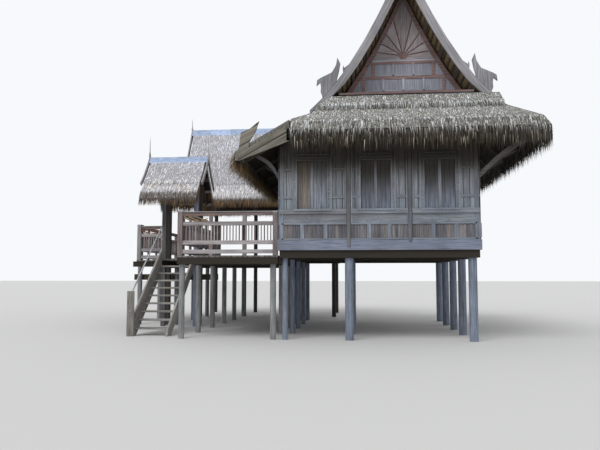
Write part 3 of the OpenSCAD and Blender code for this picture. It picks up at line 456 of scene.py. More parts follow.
@dataclass(frozen=True)
class Straw(Finish):
    """Dry grass: each straw has a tone of its own and its tip another colour.

    Attributes:
        name: the material's name.
        pale: colour of the palest straws.
        mid: colour of the middle ones.
        dark: colour of the darkest.
        tip: colour of the tips.
        tip_share: strength of the tips' colour.
        tint: colour of the stains.
        rim_shade: heights between which the straws are painted dark as shade under the rim.
        scatter: how much that height differs from straw to straw.
        rim_shade_colour: the colour of that painted shade.
    """

    name: str
    pale: Colour
    mid: Colour
    dark: Colour
    tip: Colour
    tip_share: float = 0.3
    tint: Colour = (0.3, 0.3, 0.22)
    rim_shade: Optional[Span] = None
    scatter: float = 0.5
    rim_shade_colour: Colour = (0.02, 0.0135, 0.008)

    def paint(self, graph: Graph, place: Term) -> dict[str, Value]:
        """Mixes the tones of the straws and, where asked, the painted shade under the rim.

        Args:
            graph: the material's graph.
            place: the place on the object.

        Returns:
            The values of the surface.
        """
        tone = graph.attribute("tone")
        mixed = tone * 0.78 + graph.noise(place, 1.6, 3.0) * 0.5 - 0.14
        stops = [(0.0, self.dark), (0.36, self.mid), (0.86, self.pale)]
        colour = graph.node("ShaderNodeValToRGB", {"stops": stops}, {0: mixed})
        stain = graph.noise(place.vector("ADD", (4.0, 9.0, 2.0)), 2.3, 4.0).step(0.5, 0.7)
        colour = graph.blend(stain * 0.35, colour, self.tint)
        colour = graph.blend(graph.attribute("along").step(0.2, 1.0) * self.tip_share, colour, self.tip)
        # Painted shade: the hanging straws darken towards the rim, as the overhang shades them
        if self.rim_shade:
            low, high = self.rim_shade
            height = place.part("Z") + (tone - 0.5) * self.scatter
            colour = graph.blend(height.step(high, low) * 0.92, colour, self.rim_shade_colour)
        return {"Base Color": colour, "Roughness": 0.85}


@dataclass(frozen=True)
class ThatchCore(Finish):
    """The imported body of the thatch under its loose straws."""

    name: str
    pale: Colour
    dark: Colour

    def paint(self, graph: Graph, place: Term) -> dict[str, Value]:
        """Mixes bundle streaks that run down the slope.

        Args:
            graph: the material's graph.
            place: the place on the object.

        Returns:
            The values of the surface.
        """
        streak = graph.noise(place.vector("MULTIPLY", (30.0, 30.0, 4.0)), 1.6, 6.0, 0.65)
        colour = graph.blend(streak.step(0.35, 0.68), self.dark, self.pale)
        normal = graph.bump(0.8, 0.02, streak)
        return {"Base Color": colour, "Roughness": 0.92, "Normal": normal}


@dataclass(frozen=True)
class RidgeSheet(Finish):
    """Dull folded metal with chalky streaks."""

    name: str
    pale: Colour
    dark: Colour
    metallic: float = 0.25

    def paint(self, graph: Graph, place: Term) -> dict[str, Value]:
        """Mixes chalk and stains.

        Args:
            graph: the material's graph.
            place: the place on the object.

        Returns:
            The values of the surface.
        """
        cloud = graph.noise(place.vector("MULTIPLY", (3.0, 3.0, 9.0)), 2.0, 5.0)
        colour = graph.blend(cloud.step(0.3, 0.7), self.dark, self.pale)
        colour = colour.scaled(graph.attribute("tone") * 0.3 + 0.8)
        normal = graph.bump(0.2, 0.01, cloud)
        return {"Base Color": colour, "Roughness": 0.5, "Metallic": self.metallic, "Normal": normal}


RIDGE_X = 1.5
STEEP_ROOF = Rake("X", RIDGE_X, 9.95, 2.35, 0.3)
LEAN_TO = Rake("X", 0.0, 6.236, 0.553)
STAIR_LINE = Rake("Y", 3.0, 2.15, 0.846)

SLATE: Colour = (0.235, 0.262, 0.305)
DRIFTWOOD: Colour = (0.255, 0.215, 0.19)
REDDISH: Colour = (0.25, 0.165, 0.14)

# Painted shade: the wall boards and framing darken and warm towards the eaves
WALL = Timber("wall_boards", (0.44, 0.5, 0.59), SLATE, DRIFTWOOD, painted_shade=(3.98, 4.62))
FRAMING = replace(WALL, base="wall_framing", pale=(0.375, 0.41, 0.465), dark=(0.195, 0.213, 0.245))
WALL_PLANKS = replace(WALL, base="wall_planks_x", seams=Seams("X", 0.155, spread=0.35))
WALL_PLANKS_DEEP = replace(WALL, base="wall_planks_y", seams=Seams("Y", 0.155, spread=0.35))
FLOOR_PLANKS = Timber(
    "floor_planks", (0.29, 0.29, 0.3), (0.12, 0.115, 0.115), DRIFTWOOD, Grain.ALONG_Y,
    seams=Seams("X", 0.16),
)
DECK_PLANKS = Timber(
    "deck_planks", (0.3, 0.29, 0.29), (0.11, 0.1, 0.1), DRIFTWOOD, Grain.ALONG_Y, moss=0.2,
    seams=Seams("X", 0.14),
)
# Painted shade: the trim darkens towards the eaves
TRIM = Timber(
    "pale_trim", (0.3, 0.338, 0.405), (0.145, 0.165, 0.2), DRIFTWOOD, warm_share=0.12,
    painted_shade=(4.05, 4.68),
)
FLOOR_EDGE = Timber(
    "floor_edge_board", (0.225, 0.258, 0.345), (0.11, 0.128, 0.17), DRIFTWOOD, warm_share=0.15
)
# Painted shade: the window leaves darken towards the eaves
LEAF = Timber(
    "window_leaf", (0.285, 0.33, 0.42), (0.096, 0.113, 0.148), (0.22, 0.19, 0.16), warm_share=0.2,
    painted_shade=(3.35, 4.45),
)
LIGHT_LEAF = replace(
    LEAF, base="light_window_leaf", pale=(0.37, 0.42, 0.51), dark=(0.134, 0.154, 0.195),
    painted_shade=(3.75, 4.62),
)
SLAT = Timber(
    "panel_slat", (0.195, 0.195, 0.22), (0.07, 0.068, 0.078), (0.14, 0.1, 0.08), warm_share=0.3
)
POST = Timber("post_timber", (0.36, 0.425, 0.565), (0.15, 0.175, 0.232), (0.22, 0.2, 0.2), moss=0.15)
GATE_POST = Timber(
    "gate_post_timber", (0.19, 0.195, 0.215), (0.05, 0.05, 0.055), (0.13, 0.085, 0.065), warm_share=0.4
)
BARGE = Timber(
    "bargeboard_timber", (0.45, 0.44, 0.465), (0.205, 0.2, 0.216), (0.3, 0.26, 0.22), rake=STEEP_ROOF
)
VERGE = Timber(
    "verge_timber", (0.42, 0.39, 0.335), (0.13, 0.118, 0.094), (0.24, 0.19, 0.125), moss=0.3,
    rake=LEAN_TO, seams=Seams("X", 0.31, 0.016),
)
FINIAL = Timber("finial_timber", (0.56, 0.55, 0.58), (0.3, 0.29, 0.305), (0.3, 0.27, 0.24))
# Painted shade: the brackets are darker than the other pale timbers, as shade under the eaves
BRACKET = Timber("bracket_timber", (0.215, 0.205, 0.205), (0.085, 0.081, 0.082), (0.19, 0.155, 0.13))
BARGE_END = Timber("carved_end_timber", (0.33, 0.328, 0.355), (0.15, 0.148, 0.163), (0.24, 0.21, 0.18))
SMALL_BARGE = Timber("small_bargeboard_timber", (0.48, 0.47, 0.49), (0.22, 0.212, 0.22), DRIFTWOOD)
# Painted shade: this leaf darkens towards the eaves too
WARM_LEAF = Timber(
    "warm_window_leaf", (0.255, 0.235, 0.222), (0.1, 0.09, 0.083), (0.24, 0.19, 0.15), warm_share=0.4,
    painted_shade=(3.7, 4.75),
)
WARM_SLAT = Timber(
    "warm_panel_slat", (0.27, 0.252, 0.255), (0.115, 0.102, 0.1), (0.23, 0.19, 0.17), warm_share=0.3
)
# Painted shade: the half rounds darken towards the eaves
PILASTER = Timber(
    "half_round_timber", (0.255, 0.27, 0.31), (0.115, 0.12, 0.135), DRIFTWOOD, painted_shade=(4.1, 4.7)
)
TERRACE_POST = Timber(
    "terrace_post_timber", (0.46, 0.468, 0.49), (0.19, 0.193, 0.202), DRIFTWOOD, moss=0.2
)
NEWEL = Timber("newel_timber", (0.32, 0.305, 0.29), (0.13, 0.122, 0.112), DRIFTWOOD, moss=0.25)
RAIL_POST = Timber(
    "rail_post_timber", (0.33, 0.285, 0.285), (0.14, 0.112, 0.11), REDDISH, warm_share=0.4
)
GATE_SHADE = Timber(
    "shaded_post_timber", (0.075, 0.062, 0.055), (0.022, 0.018, 0.014), (0.07, 0.04, 0.03), warm_share=0.4
)
GABLE_SHADE = Timber(
    "gable_backing_timber", (0.29, 0.15, 0.135), (0.13, 0.065, 0.058), (0.2, 0.09, 0.08)
)
RAY = Timber(
    "sunburst_ray_timber", (0.49, 0.45, 0.48), (0.265, 0.232, 0.242), (0.44, 0.34, 0.31), warm_share=0.3
)
YELLOW_CARVING = Timber("yellow_carving", (0.36, 0.275, 0.18), (0.19, 0.14, 0.09), (0.3, 0.2, 0.12))
RED_CARVING = Timber("red_carving", (0.3, 0.13, 0.09), (0.13, 0.055, 0.038), (0.3, 0.12, 0.08))
RAIL = Timber("railing_timber", (0.48, 0.45, 0.465), (0.23, 0.205, 0.208), REDDISH, warm_share=0.35)
RAIL_TOP = Timber(
    "rail_top_timber", (0.26, 0.21, 0.2), (0.1, 0.075, 0.07), (0.24, 0.14, 0.11), warm_share=0.5
)
# Painted shade: girders and beams are near-black and darker still towards their top, as shade under the floor
# and the deck
GIRDER = Timber(
    "girder_timber", (0.078, 0.072, 0.064), (0.024, 0.022, 0.018), (0.08, 0.06, 0.045), moss=0.3,
    painted_shade=(2.06, 2.15),
)
BEAM = Timber(
    "beam_timber", (0.068, 0.064, 0.056), (0.02, 0.019, 0.016), (0.07, 0.055, 0.04), moss=0.3,
    painted_shade=(1.885, 1.98),
)
RAFTER = Timber("rafter_timber", (0.135, 0.105, 0.08), (0.045, 0.033, 0.025), (0.17, 0.11, 0.075))
GABLE_FRAME = Timber(
    "gable_frame_timber", (0.345, 0.235, 0.222), (0.15, 0.092, 0.086), (0.34, 0.2, 0.165), warm_share=0.5
)
GABLE_PANEL = Timber(
    "gable_panel_timber", (0.51, 0.53, 0.62), (0.29, 0.3, 0.35), DRIFTWOOD, warm_share=0.2
)
STAIR = Timber("stair_timber", (0.47, 0.45, 0.43), (0.2, 0.19, 0.18), DRIFTWOOD, moss=0.15)

STRINGER = replace(STAIR, base="stringer_timber", rake=STAIR_LINE)

# Heights over which the main roofs' straws are painted dark as shade under the rim
RIM_SHADE: Span = (4.92, 5.42)
MAIN_STRAW = Straw(
    "main_roof_straw", (0.9, 0.94, 0.98), (0.57, 0.595, 0.61), (0.27, 0.275, 0.27), (0.38, 0.385, 0.37),
    tint=(0.42, 0.42, 0.37), rim_shade=RIM_SHADE,
)
FRINGE_STRAW = Straw(
    "fringe_straw", (0.78, 0.79, 0.76), (0.48, 0.475, 0.42), (0.2, 0.175, 0.125), (0.32, 0.26, 0.18),
    tip_share=0.35, rim_shade=RIM_SHADE,
)
STRAND_STRAW = Straw(
    "long_strand_straw", (0.5, 0.475, 0.4), (0.26, 0.235, 0.185), (0.07, 0.056, 0.038),
    (0.3, 0.24, 0.16), tip_share=0.4, tint=(0.24, 0.205, 0.14),
)
# Painted shade: near-black straws behind the main fringe
UNDER_STRAW = Straw(
    "under_fringe_straw", (0.056, 0.035, 0.017), (0.017, 0.012, 0.007), (0.012, 0.008, 0.005),
    (0.035, 0.021, 0.01), tint=(0.02, 0.013, 0.008),
)
GOLD_STRAW = Straw(
    "golden_fringe_straw", (0.46, 0.29, 0.14), (0.2, 0.12, 0.058), (0.055, 0.035, 0.018),
    (0.15, 0.085, 0.035), tint=(0.1, 0.06, 0.03),
)
SHADED_STRAW = Straw(
    "shaded_straw", (0.3, 0.27, 0.22), (0.15, 0.13, 0.1), (0.05, 0.042, 0.03), (0.12, 0.1, 0.07),
    tint=(0.08, 0.07, 0.05),
)
OLIVE_STRAW = Straw(
    "olive_straw", (0.4, 0.31, 0.16), (0.19, 0.135, 0.062), (0.06, 0.04, 0.018), (0.22, 0.15, 0.07),
    tip_share=0.4, tint=(0.2, 0.17, 0.06),
)
LEAN_STRAW = Straw(
    "lean_to_straw", (0.58, 0.5, 0.34), (0.32, 0.25, 0.145), (0.11, 0.078, 0.04), (0.2, 0.14, 0.07),
    tip_share=0.4, tint=(0.22, 0.18, 0.08),
)
LIT_STRAW = Straw(
    "lit_fringe_straw", (0.16, 0.1, 0.045), (0.06, 0.036, 0.016), (0.018, 0.011, 0.006),
    (0.42, 0.31, 0.17), tip_share=0.6, tint=(0.08, 0.05, 0.02),
)
# Painted light: the gate and rear roofs' straws are paler than the main roof's, as those roofs stand in open
# light
PALE_STRAW = Straw(
    "pale_roof_straw", (0.93, 0.95, 1.0), (0.69, 0.71, 0.8), (0.41, 0.41, 0.46), (0.54, 0.54, 0.57),
    tint=(0.6, 0.59, 0.61), scatter=0.12, rim_shade_colour=(0.05, 0.032, 0.018),
)
PALE_FRINGE = Straw(
    "pale_fringe_straw", (1.0, 0.99, 0.95), (0.8, 0.77, 0.71), (0.42, 0.36, 0.28), (0.58, 0.46, 0.3),
    tip_share=0.5, tint=(0.66, 0.6, 0.5), scatter=0.12, rim_shade_colour=(0.06, 0.038, 0.02),
)
CORE = ThatchCore("thatch_core", (0.26, 0.25, 0.225), (0.1, 0.092, 0.078))
GOLD_CORE = ThatchCore("golden_thatch_core", (0.42, 0.31, 0.14), (0.15, 0.1, 0.04))
# Painted light: paler core of the gate and rear roofs, as they stand in open light
PALE_CORE = ThatchCore("pale_thatch_core", (0.5, 0.49, 0.52), (0.22, 0.21, 0.22))
# Painted shade: near-black core for undersides and dark rims
UNDER_CORE = ThatchCore("shaded_thatch_core", (0.034, 0.025, 0.015), (0.012, 0.008, 0.005))
SHEET = RidgeSheet("ridge_sheet_metal", (0.34, 0.435, 0.62), (0.215, 0.28, 0.405))
TUBE = RidgeSheet("handrail_tube", (0.55, 0.57, 0.6), (0.34, 0.35, 0.37), metallic=0.5)


def adopt(mesh: Mesh, name: str, slot: str, replaces: Iterable[str] = ()) -> bpy.types.Object:
    """Makes a finished mesh a piece of the house.

    Args:
        mesh: the mesh, in the frame's own place.
        name: name of the piece.
        slot: the record's material slot; not used.
        replaces: the nodes that it stands for.

    Returns:
        The piece.
    """
    mesh.name = name
    piece = bpy.data.objects.new(name, mesh)
    bpy.context.scene.collection.objects.link(piece)
    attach(piece, BODY)
    if replaces:
        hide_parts(*replaces)
    mesh.calc_loop_triangles()
    LOG.info("%s: %d triangles", name, len(mesh.loop_triangles))
    return piece


def join(meshes: Iterable[Mesh], name: str) -> Mesh:
    """Puts meshes with one material each together.

    Args:
        meshes: the meshes.
        name: name of the new mesh.

    Returns:
        One mesh with a slot for each material.
    """
    joined = bmesh.new()
    made = bpy.data.meshes.new(name)
    for number, mesh in enumerate(meshes):
        made.materials.append(next(material for material in mesh.materials if material))
        mesh.polygons.foreach_set("material_index", [number] * len(mesh.polygons))
        joined.from_mesh(mesh)
    joined.to_mesh(made)
    joined.free()
    return made


def copy_of(node: str) -> Shape:
    """A merged copy of a node's mesh.

    Args:
        node: name of the node.

    Returns:
        The copy, which the caller frees.
    """
    shape = bmesh.new()
    shape.from_mesh(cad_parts[node].data)
    bmesh.ops.remove_doubles(shape, verts=shape.verts, dist=1e-5)
    return shape


def solids(shape: Shape) -> list[list[Facet]]:
    """Sorts the faces of a mesh by the solid that they bound.

    Args:
        shape: the mesh.

    Returns:
        The faces of each separate solid.
    """
    seen: set[int] = set()
    found = []
    shape.faces.index_update()
    for start in shape.faces:
        if start.index in seen:
            continue
        group, queue = [], [start]
        seen.add(start.index)
        while queue:
            face = queue.pop()
            group.append(face)
            for vert in face.verts:
                for other in vert.link_faces:
                    if other.index not in seen:
                        seen.add(other.index)
                        queue.append(other)
        found.append(group)
    return found


def box_of(faces: Iterable[Facet]) -> Box:
    """Lowest and highest corner of some faces."""
    columns = list(zip(*(v.co for f in faces for v in f.verts)))
    return Vector(map(min, columns)), Vector(map(max, columns))


def grain_of(box: Box) -> Grain:
    """Direction of the fibres in a timber: along its longest side."""
    size = box[1] - box[0]
    return (Grain.ALONG_X, Grain.ALONG_Y, Grain.UPRIGHT)[max(range(3), key=lambda i: size[i])]


@dataclass
class Joinery:
    """The timbers of one node, each with eased edges, a tone and fibres of its own.

    Attributes:
        node: name of the node.
        finish: its wood, or a function that gives the wood of each timber from its box.
        slot: the record's material slot.
        ease: width of the eased edges.
        flat_angle: angle in degrees under which two faces are made one.
        sharp_angle: angle in degrees over which an edge is eased.
    """

    node: str
    finish: Union[Finish, Callable[[Box], Finish]]
    slot: str
    ease: float = 0.006
    flat_angle: float = 0.5
    sharp_angle: float = 25.0

    def build(self) -> None:
        """Copies the node's solids, eases their edges and gives each its finish."""
        source = copy_of(self.node)
        chance = random.Random(self.node)
        mesh = bpy.data.meshes.new(self.node + "_timber")
        joined = bmesh.new()
        names: list[str] = []
        tones = joined.verts.layers.float.new("tone")
        for faces in solids(source):
            box = box_of(faces)
            finish = self.finish if isinstance(self.finish, Finish) else self.finish(box)
            if isinstance(finish, Timber):
                finish = finish.along(grain_of(box))
            material = finish.material()
            if material.name not in names:
                names.append(material.name)
                mesh.materials.append(material)
            self._add(joined, faces, names.index(material.name), chance.random(), tones)
        source.free()
        joined.to_mesh(mesh)
        joined.free()
        adopt(mesh, self.node + "_timber", self.slot, [self.node])

    def _add(self, joined: Shape, faces: list[Facet], index: int, tone: float, tones: Tones) -> None:
        """Adds one solid to the joined mesh.

        Args:
            joined: the mesh that grows.
            faces: faces of the solid in its source.
            index: place of its material.
            tone: its own tone, from 0 to 1.
            tones: layer that keeps the tone.
        """
        one = bmesh.new()
        known = {}
        for face in faces:
            for vert in face.verts:
                if vert.index not in known:
                    known[vert.index] = one.verts.new(vert.co)
            one.faces.new([known[v.index] for v in face.verts])
        flat, limit = math.radians(self.flat_angle), math.radians(self.sharp_angle)
        bmesh.ops.dissolve_limit(one, angle_limit=flat, verts=one.verts, edges=one.edges)
        one.normal_update()
        sharp = [e for e in one.edges if len(e.link_faces) == 2 and e.calc_face_angle(0.0) > limit]
        if sharp:
            bmesh.ops.bevel(
                one, geom=sharp, offset=self.ease, segments=1, profile=0.5, affect="EDGES", clamp_overlap=True
            )
        copies = {}
        for vert in one.verts:
            made = joined.verts.new(vert.co)
            made[tones] = tone
            copies[vert] = made
        for face in one.faces:
            made = joined.faces.new([copies[v] for v in face.verts])
            made.material_index = index
        one.free()


class NodeTool:
    """A geometry node tree with named inputs, used as a modifier and applied."""

    def __init__(
        self, name: str, inputs: dict[str, str], fill: Callable[[Graph, dict[str, Term]], Term]
    ) -> None:
        """Builds the tree.

        Args:
            name: name of the tree.
            inputs: kind of socket of each named input, such as Float or Object.
            fill: adds the nodes and gives the resulting geometry.
        """
        self.tree = bpy.data.node_groups.new(name, "GeometryNodeTree")
        face = self.tree.interface
        face.new_socket("Geometry", in_out="INPUT", socket_type="NodeSocketGeometry")
        self.keys = {}
        for label, kind in inputs.items():
            socket = face.new_socket(label, in_out="INPUT", socket_type="NodeSocket" + kind)
            self.keys[label] = socket.identifier
        face.new_socket("Geometry", in_out="OUTPUT", socket_type="NodeSocketGeometry")
        graph = Graph(self.tree)
        entry = self.tree.nodes.new("NodeGroupInput")
        terms = {label: Term(graph, entry.outputs[label]) for label in ("Geometry", *inputs)}
        graph.node("NodeGroupOutput", {}, {"Geometry": fill(graph, terms)})

    def apply(self, source: Mesh, values: dict[str, object]) -> Mesh:
        """Runs the tree on a mesh.

        Args:
            source: mesh that the tree reads.
            values: a value for each named input.

        Returns:
            The resulting plain mesh.
        """
        holder = bpy.data.objects.new("holder", source)
        bpy.context.scene.collection.objects.link(holder)
        modifier = holder.modifiers.new("tool", "NODES")
        modifier.node_group = self.tree
        for label, value in values.items():
            modifier[self.keys[label]] = value
        depsgraph = bpy.context.evaluated_depsgraph_get()
        made = bpy.data.meshes.new_from_object(holder.evaluated_get(depsgraph), depsgraph=depsgraph)
        holder.modifiers.clear()
        bpy.data.objects.remove(holder)
        return made


def fill_board_tree(graph: Graph, given: dict[str, Term]) -> Term:
    """Nodes that put an eased board at each point, by the point's size and turn.

    Args:
        graph: the tree's graph.
        given: its named inputs.

    Returns:
        The boards as plain geometry.
    """
    corner, inset, half, turn, centre = (
        graph.read(name, "FLOAT_VECTOR") for name in ("corner", "inset", "half", "turn", "centre")
    )
    model = graph.node("GeometryNodeObjectInfo", {}, {"Object": given["Model"]}, "Geometry")
    set_out = graph.node("GeometryNodeInstanceOnPoints", {}, {"Points": given["Geometry"], "Instance": model})
    real = graph.node("GeometryNodeRealizeInstances", {}, {"Geometry": set_out})
    reached = corner.vector("MULTIPLY", half.vector("SUBTRACT", inset.scaled(given["Ease"])))
    turned = graph.node(
        "ShaderNodeVectorRotate", {"rotation_type": "EULER_XYZ"}, {"Vector": reached, "Rotation": turn}
    )
    values = {"Geometry": real, "Position": turned.vector("ADD", centre)}
    placed = graph.node("GeometryNodeSetPosition", {}, values)
    return graph.node("GeometryNodeSetMaterial", {}, {"Geometry": placed, "Material": given["Material"]})


BOARD_INPUTS = {"Model": "Object", "Ease": "Float", "Material": "Material"}
BOARD_TOOL = NodeTool("board_set", BOARD_INPUTS, fill_board_tree)


def board_model() -> bpy.types.Object:
    """Makes the eased board that the board tool repeats, or hands back the one made before.

    Returns:
        The model, which stays out of the scene.
    """
    known = bpy.data.objects.get("board_model")
    if known:
        return known
    signs = [(x, y, z) for x in (-1, 1) for y in (-1, 1) for z in (-1, 1)]
    corners = [sign for sign in signs for _ in range(3)]
    insets = [tuple(0.0 if axis == free else 1.0 for axis in range(3)) for _ in signs for free in range(3)]
    shape = bmesh.new()
    for corner, inset in zip(corners, insets):
        shape.verts.new([c * (1.0 - 0.1 * i) for c, i in zip(corner, inset)])
    bmesh.ops.convex_hull(shape, input=shape.verts)
    bmesh.ops.dissolve_limit(shape, angle_limit=math.radians(1.0), verts=shape.verts, edges=shape.edges)
    bmesh.ops.recalc_face_normals(shape, faces=shape.faces)
    mesh = bpy.data.meshes.new("board_model")
    shape.to_mesh(mesh)
    shape.free()
    store(mesh, "corner", corners)
    store(mesh, "inset", insets)
    return bpy.data.objects.new("board_model", mesh)


def store(mesh: Mesh, name: str, rows: list) -> None:
    """Keeps a number or a vector for each point of a mesh."""
    wide = isinstance(rows[0], (tuple, list, Vector))
    layer = mesh.attributes.new(name, "FLOAT_VECTOR" if wide else "FLOAT", "POINT")
    flat = [float(v) for row in rows for v in row] if wide else [float(row) for row in rows]
    layer.data.foreach_set("vector" if wide else "value", flat)


FINE_EASE = 0.003


@dataclass
class Carpenter:
    """Collects boards by finish and makes them one piece with the board tool.

    Attributes:
        name: name of the piece.
        slot: the record's material slot.
        ease: width of the eased edges.
    """

    name: str
    slot: str
    ease: float = 0.004

    def __post_init__(self) -> None:
        """Starts the random draws and the sets of boards."""
        self.chance = random.Random(self.name)
        self.sets: dict[Finish, list[tuple[Vector, Vector, Vector, float]]] = {}

    def board(
        self, low: Iterable[float], high: Iterable[float], finish: Finish, turn: Triple = (0.0, 0.0, 0.0)
    ) -> None:
        """Adds a board between two opposite corners, turned about its middle.

        Args:
            low: lowest corner.
            high: highest corner.
            finish: its wood; the fibres run along its longest side.
            turn: angles about X, Y and Z in radians.
        """
        a, b = Vector(low), Vector(high)
        a, b = Vector(map(min, a, b)), Vector(map(max, a, b))
        if isinstance(finish, Timber):
            finish = finish.along(grain_of((a, b)))
        row = ((a + b) / 2, (b - a) / 2, Vector(turn), self.chance.random())
        self.sets.setdefault(finish, []).append(row)

    def build(self, replaces: Iterable[str] = ()) -> None:
        """Makes the boards as one piece.

        Args:
            replaces: the nodes that the piece stands for.
        """
        meshes = []
        for finish, rows in self.sets.items():
            points = bpy.data.meshes.new("points")
            points.from_pydata([row[0] for row in rows], [], [])
            for key, label in enumerate(("centre", "half", "turn", "tone")):
                store(points, label, [row[key] for row in rows])
            values = {"Model": board_model(), "Ease": self.ease, "Material": finish.material()}
            made = BOARD_TOOL.apply(points, values)
            for label in ("centre", "half", "turn", "corner", "inset"):
                if label in made.attributes:
                    made.attributes.remove(made.attributes[label])
            meshes.append(made)
        adopt(join(meshes, self.name), self.name, self.slot, replaces)


def straw_model(graph: Graph, given: dict[str, Term]) -> Term:
    """One straw of unit size, whose points keep how far along it they are."""
    values = {"Vertices": 3, "Side Segments": given["segments"], "Radius Top": 0.0, "Radius Bottom": 1.0}
    cone = graph.node("GeometryNodeMeshCone", {"fill_type": "NGON"}, {**values, "Depth": 1.0}, "Mesh")
    return graph.keep(cone, "POINT", "along", graph.node("GeometryNodeInputPosition").part("Z"))


def straw_turn(graph: Graph, given: dict[str, Term], normal: Term) -> Term:
    """Turn of each straw, down the slope, lifted off it and spread by chance.

    Args:
        graph: the tree's graph.
        given: its named inputs.
        normal: the surface's normal at the straw's root.

    Returns:
        The rotation.
    """
    fall = graph.node("FunctionNodeInputVector", {"vector": (0.0, 0.0, -1.0)})
    down = fall.vector("SUBTRACT", fall.vector("PROJECT", normal)).vector("NORMALIZE", (0.0, 0.0, 0.0))
    values = {0: (-1.0, -1.0, -0.6), 1: (1.0, 1.0, 0.6), "Seed": given["seed"]}
    jitter = graph.node("FunctionNodeRandomValue", {"data_type": "FLOAT_VECTOR"}, values)
    lie = down.vector("ADD", normal.scaled(given["lift"])).vector("ADD", jitter.scaled(given["spread"]))
    turn = graph.node("FunctionNodeAlignRotationToVector", {"axis": "Z"}, {"Vector": lie})
    settings = {"axis": "Y", "pivot_axis": "Z"}
    return graph.node("FunctionNodeAlignRotationToVector", settings, {"Rotation": turn, "Vector": normal})


def fill_straw_tree(graph: Graph, given: dict[str, Term]) -> Term:
    """Nodes that lay straws down the slope of a surface and let their ends drop.

    Args:
        graph: the tree's graph.
        given: its named inputs.

    Returns:
        The straws as plain geometry.
    """
    place, seed = graph.node("GeometryNodeInputPosition"), given["seed"]
    clump = graph.noise(place.vector("MULTIPLY", (1.0, 1.0, 0.35)), given["clump"], 2.0)
    height = place.part("Z")
    rooted = (height > given["root_low"]) * (height < given["root_high"])
    density = given["density"] * clump.step(0.28, 0.55) * rooted
    values = {"Mesh": given["Geometry"], "Density": density, "Seed": seed}
    points = graph.node(
        "GeometryNodeDistributePointsOnFaces", {"distribute_method": "RANDOM"}, values, "Points"
    )
    turn = straw_turn(graph, given, Term(graph, points.socket.node.outputs["Normal"]))
    length = graph.chance(0.5, 1.2, seed) * given["length"] * (clump * 0.8 + 0.6)
    girth = graph.chance(0.6, 1.4, seed + 7) * given["width"]
    size = graph.combined(girth, girth * 0.45, length)
    values = {"Points": points, "Instance": straw_model(graph, given), "Rotation": turn, "Scale": size}
    laid = graph.node("GeometryNodeInstanceOnPoints", {}, values)
    laid = graph.keep(laid, "INSTANCE", "tone", graph.chance(0.0, 1.0, seed + 3))
    real = graph.node("GeometryNodeRealizeInstances", {}, {"Geometry": laid})
    along = graph.read("along", "FLOAT")
    drop = graph.combined(z=along * along * given["fall"] * -1.0)
    bent = graph.node("GeometryNodeInputPosition").vector("ADD", drop)
    held = bent.vector("MAXIMUM", given["low"]).vector("MINIMUM", given["high"])
    real = graph.node("GeometryNodeSetPosition", {}, {"Geometry": real, "Position": held})
    return graph.node("GeometryNodeSetMaterial", {}, {"Geometry": real, "Material": given["material"]})


LAYER_SIZES = ("density", "length", "width", "lift", "spread", "fall", "clump")
STRAW_TOOL = NodeTool(
    "straw_coat",
    {
        **dict.fromkeys((*LAYER_SIZES, "root_low", "root_high"), "Float"),
        **dict.fromkeys(("segments", "seed"), "Int"),
        **dict.fromkeys(("low", "high"), "Vector"),
        "material": "Material",
    },
    fill_straw_tree,
)


class Face(Enum):
    """The faces of a thatched slab: its slopes, its cut ends and the inner sides of those."""

    SLOPE = 1
    EAVE = 2
    BACK = 3


class Eave(Enum):
    """The sides at which a slab ends in a fringe, each as an axis and a direction."""

    FRONT = (1, -1)
    BACK = (1, 1)
    LEFT = (0, -1)
    RIGHT = (0, 1)


# A height over or under the rim that no root lies beyond
FAR = 9.0
# Points this close to the outermost one belong to the eave
AT_EDGE = 0.02
# Limits of a face's normal: of a slope, of an underside and, for an eave, outwards and upwards
SLOPE_UP = 0.12
UNDER_UP = -0.1
EAVE_OUT = 0.6
EAVE_UP = 0.35


@dataclass(frozen=True)
class Layer:
    """One layer of straws.

    Attributes:
        face: the faces that it goes on.
        finish: finish of its straws.
        density: straws for each square metre.
        length: length of a usual straw.
        width: radius of its foot.
        lift: how far the straws stand off the face.
        spread: how much their directions differ.
        fall: how far their tips drop.
        segments: pieces that a straw bends in.
        clump: fineness of the clumps that they stand in.
        reach: heights over the rim between which they are rooted.
        suffix: end of the name of the piece that they are part of.
    """

    face: Face
    finish: Straw
    density: float
    length: float
    width: float
    lift: float = 0.08
    spread: float = 0.1
    fall: float = 0.03
    segments: int = 1
    clump: float = 9.0
    reach: Span = (-FAR, FAR)
    suffix: str = "_fringe"


